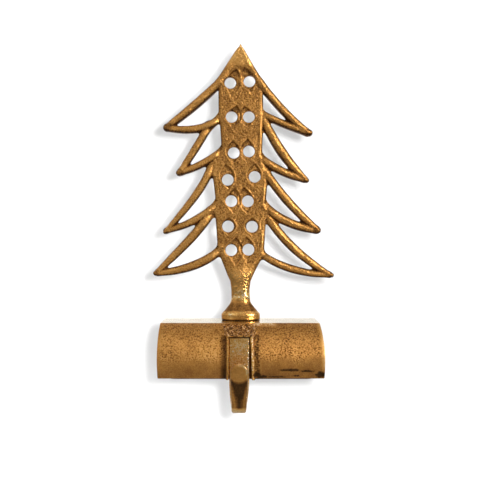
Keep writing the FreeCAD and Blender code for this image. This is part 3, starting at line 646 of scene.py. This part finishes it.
# Holes and their leaves: hole x, z, then the leaf's top and bottom points from the hole.
LEAVES = [
    (-6.4, 173.6, (3.6, 8.4), (0.4, -8.2)), (5.1, 174.5, (-3.3, 8.2), (0.9, -6.8)),
    (-5.6, 153.2, (2.9, 6.6), (0.4, -6.8)), (4.8, 153.2, (-3.0, 6.3), (-0.3, -6.5)),
    (-4.3, 131.6, (-0.8, 7.2), (0.1, -6.3)), (4.8, 132.5, (-0.9, 7.2), (-1.2, -6.8)),
    (-7.9, 115.4, (-1.4, 9.3), (0.7, -5.6)), (8.3, 117.2, (0.1, 7.8), (-1.1, -5.4)),
    (-5.8, 102.6, (1.9, 7.8), (1.2, -7.5)), (4.2, 102.5, (-2.7, 8.4), (-0.3, -7.4)),
    (-7.7, 87.4, (0.3, 5.3), (0.2, -5.4)), (6.7, 87.2, (0.1, 5.3), (-0.1, -5.4)),
    (-5.8, 73.1, (2.7, 7.8), (2.8, -9.0)), (4.5, 73.4, (-1.2, 7.8), (-0.9, -6.2)),
]
HOLE_RADIUS = 3.5
LEAF_HALF = 4.4
LEAF_DEPTH = (0.55, 1.0)  # at its bottom and at its top
LEAF_RIDGE = 0.22
NECK_X = -0.3
NECK_OVAL = (2.48, 5.78)  # height over the back at the side and in the middle
TREE_GRID = 0.37
SHOULDER_TOP = 5.0  # heights over the back
BAR_TOP = 4.95
LOWER_TOP = 4.8
PLATE_TOP = 4.15
WEB_TOP = 2.6
CROWN = 0.84  # how far a bar's rounding falls, as a share of its half width
START_SINK = 1.1  # bars start this much lower, inside the trunk
FILLET = 2.2  # width over which bars blend with what they meet
SHOULDER_FILLET = 0.5
EDGE_WIDE = 1.8  # the trunk's rounded edge
EDGE_DROP = 1.5


def bar_distance(x, z, bar):
    """Distance to a bar's middle line, the bar's half width there, and the share of its length. The line
    is a parabola through three points, walked in twenty straight runs."""
    start, middle, end, widths = bar
    share = np.linspace(0, 1, 21)[:, None]
    a, b, c = np.array(start), np.array(middle), np.array(end)
    line = (1 - share) * (1 - 2 * share) * a + 4 * share * (1 - share) * b + share * (2 * share - 1) * c
    half = np.interp(share[:, 0], [0.0, 0.2, 0.5, 0.8, 1.0], [
        widths[0], widths[0] / 3 + widths[1] * 2 / 3, widths[1], widths[2] / 3 + widths[1] * 2 / 3, widths[2],
    ]) / 2
    best = np.full(x.shape, 1e9)
    radius = np.full(x.shape, 1.0)
    place = np.zeros(x.shape)
    for index in range(20):
        p, q = line[index], line[index + 1]
        run = q - p
        t = np.clip(((x - p[0]) * run[0] + (z - p[1]) * run[1]) / (run @ run), 0, 1)
        away = np.hypot(x - p[0] - t * run[0], z - p[1] - t * run[1])
        here = half[index] + (half[index + 1] - half[index]) * t
        closer = away - here < best - radius
        best = np.where(closer, away, best)
        radius = np.where(closer, here, radius)
        place = np.where(closer, (index + t) / 20, place)
    return best, radius, place


def polygon_distance(x, z, corners):
    """Distance to a closed outline, negative inside it."""
    nearest = np.full(x.shape, 1e9)
    inside = np.zeros(x.shape, bool)
    for (ax, az), (bx, bz) in zip(corners, corners[1:] + corners[:1]):
        run_x, run_z = bx - ax, bz - az
        t = np.clip(((x - ax) * run_x + (z - az) * run_z) / (run_x ** 2 + run_z ** 2), 0, 1)
        nearest = np.minimum(nearest, np.hypot(x - ax - t * run_x, z - az - t * run_z))
        if run_z != 0:
            crosses = (az > z) != (bz > z)
            inside ^= crosses & (x < ax + (z - az) * run_x / run_z)
    return np.where(inside, -nearest, nearest)


def tree_relief(x, z):
    """Distance outside the metal and height of its front above the back. Bars stand up as half rounds,
    the trunk as a flat with rounded edges, and the leaves dish into it."""
    gap = polygon_distance(x, z, TRUNK)
    rim = np.clip(-gap / EDGE_WIDE, 0, 1)
    edge_bar = step(1.3 - np.abs(gap + 1.6), 0.0, 1.2) * step(z, 70, 74) * step(z, 174, 170) * (x > 0)
    edge_bar = edge_bar * step(lumps(np.stack([x, 0 * x, z], axis=-1), 12.0, 24), -0.3, 0.5)
    height = PLATE_TOP + 0.2 * edge_bar + 0.8 * step(z, 179, 185)
    height = height - EDGE_DROP * (1 - np.sqrt(1 - (1 - rim) ** 2))
    half = np.interp(z, [44.0, 49.0, 54.5, 58.0, 62.0, 69.0], [5.5, 5.5, 6.1, 7.6, 9.3, 12.4])
    swell = np.sqrt(np.clip(1 - ((x - NECK_X) / half) ** 2, 0, 1))
    oval = NECK_OVAL[0] + (NECK_OVAL[1] - NECK_OVAL[0]) * swell
    height = height + (oval - height) * step(z, 69, 55)
    height = np.where(gap < 0, height, WEB_TOP)
    for cx, cz, top, bottom in LEAVES:
        run = np.array(top) - np.array(bottom)
        length = np.hypot(*run)
        off_x, off_z = x - cx - bottom[0], z - cz - bottom[1]
        along = (off_x * run[0] + off_z * run[1]) / length / length
        on_leaf = (along > -0.02) * (along < 1.02)
        on_line = np.clip(along, 0, 1)
        across = ((off_x - on_line * run[0]) * run[1] - (off_z - on_line * run[1]) * run[0]) / length
        half = LEAF_HALF * np.sin(math.pi * on_line) ** 0.8
        into = step(half - np.abs(across), -0.15, 0.8) * on_leaf
        depth = LEAF_DEPTH[0] + (LEAF_DEPTH[1] - LEAF_DEPTH[0]) * step(along, 0.1, 0.8)
        ridge = step(0.55 - np.abs(half - np.abs(across) + 0.25), 0.0, 0.45) * (along > 0.02) * (along < 0.98)
        height = height - into * depth + LEAF_RIDGE * ridge * step(half, 0.4, 1.2)
    for top_height, sink, fillet, bars in (
        (SHOULDER_TOP, 0.0, SHOULDER_FILLET, SHOULDERS),
        (BAR_TOP, START_SINK, FILLET, UPPER_BARS),
        (LOWER_TOP, START_SINK, FILLET, LOWER_BARS),
    ):
        for bar in bars:
            away, radius, place = bar_distance(x, z, bar)
            gap = -soft_max(-gap, radius - away, fillet)
            ratio = np.clip(away / radius, 0, 1)
            sunk = sink * step(place, 0.22, 0.0)
            crown = top_height - sunk - CROWN * radius * (1 - np.sqrt(1 - ratio ** 2))
            crown = np.where(away < radius, crown, WEB_TOP - 0.3)
            height = soft_max(height, crown, 0.6)
    for cx, cz, radius in TIPS:
        away = np.hypot(x - cx, z - cz)
        gap = np.minimum(gap, away - radius)
        ratio = np.clip(away / radius, 0, 1)
        crown = BAR_TOP - 0.1 - CROWN * radius * (1 - np.sqrt(1 - ratio ** 2))
        height = soft_max(height, np.where(away < radius, crown, WEB_TOP - 0.3), 0.35)
    for cx, cz, _, _ in LEAVES:
        away = np.hypot(x - cx, z - cz)
        gap = np.maximum(gap, HOLE_RADIUS - away)
        height = height - 0.35 * step(HOLE_RADIUS + 0.55 - away, 0.0, 0.5)
    return gap, height


def box_mean(values, reach):
    """Mean over a square window of 2 reach + 1 cells, by running sums along both directions."""
    for axis in (0, 1):
        padded = np.concatenate([np.repeat(values.take([0], axis), reach + 1, axis), values,
                                 np.repeat(values.take([-1], axis), reach, axis)], axis)
        sums = np.cumsum(padded, axis)
        width = 2 * reach + 1
        high = sums.take(range(width, sums.shape[axis]), axis)
        low = sums.take(range(0, sums.shape[axis] - width), axis)
        values = (high - low) / width
    return values


def tree_mesh():
    """A grid over the front view keeps the cells whose middle is metal, moves the points on their edge onto
    the outline, and lifts them to the relief. The back is the same grid laid flat, and a wall joins them."""
    xs = np.arange(-54.0, 57.0, TREE_GRID)
    zs = np.arange(43.6, 198.0, TREE_GRID)
    x, z = np.meshgrid(xs, zs)
    mid_gap, _ = tree_relief(x[:-1, :-1] + TREE_GRID / 2, z[:-1, :-1] + TREE_GRID / 2)
    keep = mid_gap < 0
    index = np.arange(x.size).reshape(x.shape)
    quads = np.stack([index[:-1, :-1], index[:-1, 1:], index[1:, 1:], index[1:, :-1]], axis=-1)[keep]
    used = np.unique(quads)
    renumber = np.full(x.size, -1)
    renumber[used] = np.arange(len(used))
    quads = renumber[quads]
    px, pz = x.ravel()[used].copy(), z.ravel()[used].copy()
    sides = np.concatenate([quads[:, [0, 1]], quads[:, [1, 2]], quads[:, [2, 3]], quads[:, [3, 0]]])
    key = np.sort(sides, axis=1)
    _, first, count = np.unique(key, axis=0, return_index=True, return_counts=True)
    rim_sides = sides[first[count == 1]]
    rim = np.unique(rim_sides)
    nudge = 0.02
    for _ in range(4):
        here, _ = tree_relief(px[rim], pz[rim])
        slope_x = (tree_relief(px[rim] + nudge, pz[rim])[0] - here) / nudge
        slope_z = (tree_relief(px[rim], pz[rim] + nudge)[0] - here) / nudge
        steep = np.maximum(slope_x ** 2 + slope_z ** 2, 0.2)
        shift = np.clip(here / steep, -0.5 * TREE_GRID, 0.5 * TREE_GRID)
        px[rim] -= shift * slope_x
        pz[rim] -= shift * slope_z
    gap, height = tree_relief(px, pz)

    # Sand-cast unevenness, and how much each spot stands out from its surroundings.
    whole_gap, whole_height = tree_relief(x, z)
    metal = (whole_gap < 0.2).astype(float)
    reach = 5
    around = box_mean(whole_height * metal, reach) / np.maximum(box_mean(metal, reach), 1e-3)
    proud = height - around.ravel()[used]
    flat = np.column_stack([px, np.zeros_like(px), pz])
    on_bars = step(proud, -0.2, 0.4)
    height = height - 0.14 - 0.08 * lumps(flat, 5.0, 21) - (0.05 + 0.07 * on_bars) * lumps(flat, 1.5, 22)
    front_y = TREE_BACK_Y - height
    edge_back = 0.45 * step(gap, -0.7, 0.0)
    back_y = TREE_BACK_Y - edge_back - 0.04 * (1 + lumps(flat, 4.0, 23))
    count = len(px)
    points = np.vstack([np.column_stack([px, front_y, pz]), np.column_stack([px, back_y, pz])])
    start, end = rim_sides.T
    walls = np.stack([end, start, start + count, end + count], axis=1)
    faces = np.vstack([quads, quads[:, ::-1] + count, walls])

    # Rubbed where it stands proud and at the point, dark in hollows and at the tips; painted shade on the
    # bars' lower sides, over the bars at the right and over the upper trunk, and a painted highlight at the
    # foot.
    under = (tree_relief(px, pz + 0.3)[1] - tree_relief(px, pz - 0.3)[1]) / 0.6
    off_trunk = step(np.abs(px), 12.0, 15.0)
    foot = step(pz, 65, 56) * (1 - off_trunk)
    wear_and_painted_light = 0.43 + 0.36 * np.clip(proud, -1.3, 0) + 0.20 * np.clip(proud, 0, 0.8) + 0.28 * step(pz, 181, 187)
    # Painted shade on the bars' lower sides, where the relief faces down, and over the bars at the right.
    wear_and_painted_light = wear_and_painted_light + off_trunk * (0.06 - 0.42 * step(under, 0.2, 0.9)) - 0.04 * step(px, 12, 16)
    # Painted shade over the upper trunk, and a painted highlight on the trunk's foot, which is also glossier.
    wear_and_painted_light = wear_and_painted_light - 0.04 * step(pz, 100, 120) * (1 - off_trunk) + 0.24 * foot
    for cx, cz, radius in TIPS[:-1]:
        wear_and_painted_light = wear_and_painted_light - 0.22 * step(radius + 1.2 - np.hypot(px - cx, pz - cz), 0, 1.5)
    smooth = np.maximum(step(pz, 177, 187), step(pz, 64, 56))
    pits = (0.55 - 0.35 * smooth) * (1 - 0.5 * on_bars)
    masks = {"wear_and_painted_light": (wear_and_painted_light, 0.45), "pits": (pits, 0.5), "polish": (0.4 * foot, 0.0)}
    return points, faces, {
        mask: np.concatenate([front, np.full(count, back)]) for mask, (front, back) in masks.items()
    }


tree_points, tree_faces, tree_masks = tree_mesh()
tree_brass = cast_brass("tree_brass", 0.8, 1.0, 0.11)
piece("openwork_tree", tree_points, tree_faces, tree_masks, tree_brass, "tree_casting")

# Neck and collar: part of the same casting as the tree, an oval stem that flares to a rounded collar which
# stands on the base. Heights over the roof of the base and half widths, smoothed into one line.
NECK_Y = 9.6
COLLAR_X = -0.1
FLATNESS = 14.0 / 23.5
NECK_LINE = [
    (0.0, 0.0), (0.0, 11.2), (0.25, 11.65), (0.7, 11.74), (2.0, 11.75), (3.4, 11.74), (3.9, 11.5),
    (4.9, 10.5), (5.3, 10.2), (5.8, 9.8), (6.8, 8.9), (7.9, 8.0), (9.4, 6.9), (11.2, 6.05), (12.8, 5.85),
    (15.0, 5.65), (18.0, 5.6), (19.5, 5.35), (22.0, 5.0), (25.0, 4.2), (28.0, 2.8), (30.0, 0.0),
]


def neck_mesh():
    """Rings of an oval round an upright axis, spaced along the side line, closed by a point at
    the top and by a flat foot."""
    line = np.array(NECK_LINE)
    run = np.concatenate([[0], np.cumsum(np.hypot(*np.diff(line, axis=0).T))])
    even = np.linspace(0, run[-1], 145)
    height = np.interp(even, run, line[:, 0])
    half = np.interp(even, run, line[:, 1])
    for _ in range(3):
        half[1:-1] = (half[:-2] + 2 * half[1:-1] + half[2:]) / 4
        height[1:-1] = (height[:-2] + 2 * height[1:-1] + height[2:]) / 4
    turn = np.linspace(0, 2 * math.pi, 161)[:-1]
    ring_x = COLLAR_X + half[:, None] * np.cos(turn)
    ring_y = NECK_Y + half[:, None] * FLATNESS * np.sin(turn)
    ring_z = np.repeat(ROOF_Z + height[:, None], len(turn), axis=1)
    points = np.stack([ring_x, ring_y, ring_z], axis=-1)
    centre = np.stack([np.full_like(ring_x, COLLAR_X), np.full_like(ring_y, NECK_Y), ring_z], axis=-1)
    above_collar = step(ring_z, ROOF_Z + 7, ROOF_Z + 11)
    dent = 0.034 + (0.006 + 0.020 * above_collar) * lumps(points, 5.0, 31) + 0.004 * lumps(points, 1.8, 32)
    dent = dent - 0.026 * (1 - above_collar)
    points = points + (centre - points) * dent[..., None]
    faces = grid_faces(*points.shape[:2], "columns")
    up = ring_z - ROOF_Z
    wear_and_painted_light = 0.60 + 0.26 * step(up, 11, 14) - 0.14 * step(up, 16, 20) + 0.08 * lumps(points, 3.0, 33)
    # A painted highlight on the collar's top bevel; painted shade in the flare above the collar and along the
    # collar's foot on the base.
    wear_and_painted_light = wear_and_painted_light + 0.10 * step(up, 2.8, 3.6) * step(5.2, up, up + 0.5)
    wear_and_painted_light = wear_and_painted_light - 0.34 * step(up, 4.9, 5.9) * step(up, 12.5, 9.0) - 0.55 * step(1.1 - up, 0, 0.6)
    on_collar = step(up, 5.0, 4.0)
    across_x = ring_x - COLLAR_X
    # On the collar, a painted highlight on its left side, and painted shade at its left end and across its
    # middle front.
    wear_and_painted_light = wear_and_painted_light + on_collar * 0.16 * (step(np.abs(across_x + 5.6), 3.2, 0.6) - step(across_x, -8.2, -10.6))
    wear_and_painted_light = wear_and_painted_light - on_collar * 0.10 * step(np.abs(across_x - 0.6), 3.4, 1.0)
    return points.reshape(-1, 3), faces, {"wear_and_painted_light": wear_and_painted_light.ravel(), "pits": 0.22 + 0 * wear_and_painted_light.ravel()}


neck_points, neck_faces, neck_masks = neck_mesh()
neck_brass = cast_brass("neck_brass", 0.5, 0.72, 0.07)
piece("neck_and_collar", neck_points, neck_faces, neck_masks, neck_brass, None)

# Hook: a cast bar with a flat shank that lies in the recess, a bend under the mantel's edge and a rounded
# tongue, its end filed to a thumbnail, with painted shade on its lower front.
HOOK_X = -1.0
SHANK_FACE_Y = -21.61
SHANK_THICK = 4.8
SHANK_WIDE = 11.4
SHANK_TOP = 24.3
BEND_RADIUS = 6.3
BEND_THICK = 4.6
BEND_WIDE = 8.3
HOOK_LOW = -16.2
TONGUE_LEAN = 15.0
TONGUE_WIDE = 9.3
TONGUE_TOP = 12.3
HOOK_SWAY = 0.15  # how far the tongue hangs to the left of the shank
FACET_Y = -37.2  # of the filed face


def hook_path():
    """Middle line of the bar in side view with its direction, half width, half thickness and corner at each
    point: straight down, round the bend, and up with a lean to the front."""
    middle_y = SHANK_FACE_Y + SHANK_THICK / 2
    bend_z = HOOK_LOW + BEND_RADIUS + BEND_THICK / 2
    bend_y = middle_y - BEND_RADIUS
    down = np.linspace(SHANK_TOP, bend_z, 80)[:-1]
    sweep = math.radians(180 - TONGUE_LEAN)
    turn = np.linspace(0, sweep, 60)
    y = np.concatenate([np.full(len(down), middle_y), bend_y + BEND_RADIUS * np.cos(turn)])
    z = np.concatenate([down, bend_z - BEND_RADIUS * np.sin(turn)])
    dy = np.concatenate([np.zeros(len(down)), -np.sin(turn)])
    dz = np.concatenate([-np.ones(len(down)), -np.cos(turn)])
    rise = (TONGUE_TOP - z[-1]) / dz[-1]
    up = np.linspace(0, rise, 60)[1:]
    y = np.concatenate([y, y[-1] + dy[-1] * up])
    z = np.concatenate([z, z[-1] + dz[-1] * up])
    dy = np.concatenate([dy, np.full(len(up), dy[-1])])
    dz = np.concatenate([dz, np.full(len(up), dz[-1])])
    run = np.concatenate([[0], np.cumsum(np.hypot(np.diff(y), np.diff(z)))])
    bend_start = SHANK_TOP - bend_z
    bend_end = bend_start + BEND_RADIUS * sweep
    wide_at = [0, bend_start - 6, bend_start, (bend_start + bend_end) / 2, bend_end, bend_end + 9]
    wide = np.interp(run, wide_at, [
        SHANK_WIDE, SHANK_WIDE - 0.2, SHANK_WIDE - 1.0, BEND_WIDE, BEND_WIDE, TONGUE_WIDE,
    ]) / 2
    thick = np.interp(run, [0, bend_start, bend_end, run[-1] - 5, run[-1]],
                      [SHANK_THICK, SHANK_THICK, BEND_THICK, BEND_THICK, 3.9]) / 2
    round_out = np.interp(run, [0, bend_start, bend_end, run[-1]], [0.8, 1.1, 1.7, 1.5])
    return y, z, dy, dz, wide, thick, round_out, run


def hook_mesh():
    """The bar's cross-section, a rounded rectangle, carried along the middle line. At the top of the tongue
    the width follows a half circle, a filed facet cuts its front upright, and both ends close to a point."""
    y, z, dy, dz, wide, thick, corner, run = hook_path()
    from_top = run[-1] - run
    radius = TONGUE_WIDE / 2
    inside = np.clip(1 - np.clip(radius - from_top, 0, radius) ** 2 / radius ** 2, 0.0004, 1)
    wide = wide * np.sqrt(inside)
    thick = thick * (1 - 0.30 * step(radius * 0.4 - from_top, 0, radius * 0.4))
    turn = np.linspace(0, 2 * math.pi, 97)[:-1]
    power = 0.28    # crowds the points towards the corners
    across = np.sign(np.cos(turn)) * np.abs(np.cos(turn)) ** power
    out = np.sign(np.sin(turn)) * np.abs(np.sin(turn)) ** power
    stretch = np.maximum(np.abs(across), np.abs(out))
    across, out = across / stretch, out / stretch
    half_w = wide[:, None] * across
    half_t = thick[:, None] * out
    limit = np.minimum(corner[:, None], 0.95 * np.minimum(wide, thick)[:, None])
    over_w = np.abs(half_w) - (wide[:, None] - limit)
    over_t = np.abs(half_t) - (thick[:, None] - limit)
    both = (over_w > 0) & (over_t > 0)
    reach = np.hypot(over_w, over_t)
    pull = np.where(both & (reach > limit), limit / np.maximum(reach, 1e-6), 1.0)
    half_w = np.where(both, np.sign(half_w) * (wide[:, None] - limit + over_w * pull), half_w)
    half_t = np.where(both, np.sign(half_t) * (thick[:, None] - limit + over_t * pull), half_t)
    points = np.stack([
        HOOK_X + half_w, y[:, None] + dz[:, None] * half_t, z[:, None] - dy[:, None] * half_t,
    ], axis=-1)
    points[..., 0] -= HOOK_SWAY * step(points[..., 2], 2.0, -14.0)
    dent = 0.05 * lumps(points, 3.5, 41) + 0.02 * lumps(points, 1.6, 42)
    dent = dent * (1 - 0.65 * step(run, 34, 42)[:, None])
    points[..., 1] += np.where(run[:, None] < 25, 0.06 + 0.5 * dent, dent)
    points[..., 1] = np.maximum(points[..., 1], FACET_Y + 0.04 + 0.03 * lumps(points, 2.6, 44))
    caps = []
    for row, count in ((0, 6), (len(run) - 1, 3)):
        ring = points[row]
        centre = ring.mean(axis=0)
        caps.append([ring + (centre - ring) * share for share in np.linspace(0, 1, count)[1:]])
    points = np.concatenate([np.array(caps[0][::-1]), points, np.array(caps[1])])
    faces = grid_faces(*points.shape[:2], "columns")
    px, py, pz = points[..., 0] - HOOK_X, points[..., 1], points[..., 2]
    tongue = py < SHANK_FACE_Y - 6

    # The tongue is darker than the shank. Below the filed face painted shade fills a wedge that narrows
    # downwards and dims the rest of the tongue's lower front; painted highlights lie on the bend's bottom, on
    # the filed face's upper rim and along the shank's right edge.
    side = np.abs(px) / (BEND_WIDE / 2)
    wedge = np.interp(pz, [-13.0, -8.0, 0.0, 3.0], [0.26, 0.36, 0.78, 1.0])
    in_shaded_wedge = tongue * step(pz + 1.8 * (1 - side ** 2), 5.2, 2.8) * step(pz, -13.6, -12.0)
    in_shaded_wedge = in_shaded_wedge * step(side, wedge + 0.30, wedge - 0.15)
    # A painted highlight along the shank's right edge.
    right = step(px, 4.6, 5.3) * step(pz, 2.0, 6.0)
    wear_and_painted_light = 0.76 + 0.13 * lumps(points, 1.9, 43) * (1 - 0.7 * tongue) - 0.26 * tongue + 0.24 * right * ~tongue
    wear_and_painted_light = wear_and_painted_light - 0.56 * in_shaded_wedge - 0.10 * tongue * (1 - in_shaded_wedge) * step(pz, 3.5, 2.0)
    # A painted highlight on the bend's bottom.
    wear_and_painted_light = wear_and_painted_light + 0.42 * step(-pz, 11.6, 12.8)
    # A painted highlight on the filed face's upper rim.
    above_disc = pz - (TONGUE_TOP - TONGUE_WIDE / 2)
    rim = step(np.hypot(px, above_disc), 3.3, 3.9) * step(px, -2.8, 0.4) * step(above_disc, -1.6, -0.4)
    wear_and_painted_light = wear_and_painted_light + 0.34 * rim * tongue
    return points.reshape(-1, 3), faces, {"wear_and_painted_light": wear_and_painted_light.ravel(), "pits": np.where(tongue, 0.05, 0.42).ravel()}


hook_points, hook_faces, hook_masks = hook_mesh()
hook_brass = cast_brass("hook_brass", 0.45, 1.0, 0.09)
piece("hanging_hook", hook_points, hook_faces, hook_masks, hook_brass, "stocking_hook")

# Felt: a pressed wool sheet glued under the base, a few millimetres short of its edges, which saves the
# mantel and closes the hollow.
felt_low, felt_high = (np.array(corner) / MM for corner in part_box("felt_pad"))
FELT_CORNER = 4.0
FELT_SHY = 1.6
# Rings from the middle of the underside to the middle of the top: share of the outline and height.
FELT_RINGS = [
    (0.0, 0.0), (0.35, 0.0), (0.7, 0.0), (0.985, 0.0), (1.0, 0.3), (1.0, 0.7), (0.985, 1.0), (0.7, 1.0),
    (0.0, 1.0),
]


def felt_mesh():
    """A rounded rectangle drawn in rings from its middle outward, flat below, with a soft upper edge."""
    half_x, half_y = felt_high[0] - FELT_SHY, felt_high[1] - FELT_SHY
    turn = np.linspace(0, 2 * math.pi, 241)[:-1]
    core_x, core_y = half_x - FELT_CORNER, half_y - FELT_CORNER
    edge = np.column_stack([np.sign(np.cos(turn)) * core_x + FELT_CORNER * np.cos(turn),
                            np.sign(np.sin(turn)) * core_y + FELT_CORNER * np.sin(turn)])
    points = np.array([
        np.column_stack([edge * share, np.full(len(turn), height)]) for share, height in FELT_RINGS
    ])
    return points.reshape(-1, 3), grid_faces(*points.shape[:2], "columns")


def mottled_material(name, scale, detail, tones):
    """A plain material whose colour runs between two tones, given with their places on the ramp, after fine
    noise. Returns it with its nodes, links, shader and noise."""
    material, nodes, links = node_material(name)
    shader = nodes["Principled BSDF"]
    place = nodes.new("ShaderNodeTexCoord")
    noise = nodes.new("ShaderNodeTexNoise")
    noise.inputs["Scale"].default_value = scale
    noise.inputs["Detail"].default_value = detail
    tone = nodes.new("ShaderNodeValToRGB")
    for element, (position, colour) in zip(tone.color_ramp.elements, tones):
        element.position = position
        element.color = colour
    links.new(place.outputs["Object"], noise.inputs["Vector"])
    links.new(noise.outputs["Fac"], tone.inputs["Fac"])
    links.new(tone.outputs["Color"], shader.inputs["Base Color"])
    return material, nodes, links, shader, noise.outputs["Fac"]


def felt_material():
    """Dark brown wool felt: matt, with a fine fuzz in colour and bump."""
    tones = [(0.35, (0.035, 0.022, 0.014, 1)), (0.7, (0.095, 0.062, 0.040, 1))]
    material, nodes, links, shader, fuzz = mottled_material("brown_felt", 2200, 4, tones)
    shader.inputs["Roughness"].default_value = 0.95
    shader.inputs["Sheen Weight"].default_value = 0.3
    bump = nodes.new("ShaderNodeBump")
    bump.inputs["Distance"].default_value = 0.15 * MM
    links.new(fuzz, bump.inputs["Height"])
    links.new(bump.outputs["Normal"], shader.inputs["Normal"])
    return material


felt_points, felt_faces = felt_mesh()
piece("felt_sheet", felt_points, felt_faces, {}, felt_material(), "felt_pad")

# Screws and washers inside the base: plain zinc-plated steel, with the dull grain of the plating.
FASTENERS = ["tree_screw", "tree_washer", "hook_screw", "hook_washer"]


def zinc_material():
    """Zinc-plated steel: bluish grey metal with a faint mottling in colour and gloss."""
    tones = [(0.0, (0.42, 0.43, 0.44, 1)), (1.0, (0.72, 0.73, 0.72, 1))]
    material, nodes, links, shader, mottle = mottled_material("zinc_plated_steel", 900, 2, tones)
    shader.inputs["Metallic"].default_value = 1.0
    gloss = nodes.new("ShaderNodeMapRange")
    gloss.inputs["To Min"].default_value = 0.28
    gloss.inputs["To Max"].default_value = 0.5
    links.new(mottle, gloss.inputs["Value"])
    links.new(gloss.outputs["Result"], shader.inputs["Roughness"])
    return material


zinc = zinc_material()
for node in FASTENERS:
    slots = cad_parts[node].data.materials
    for place in range(len(slots)):
        slots[place] = zinc
    if not slots:
        slots.append(zinc)
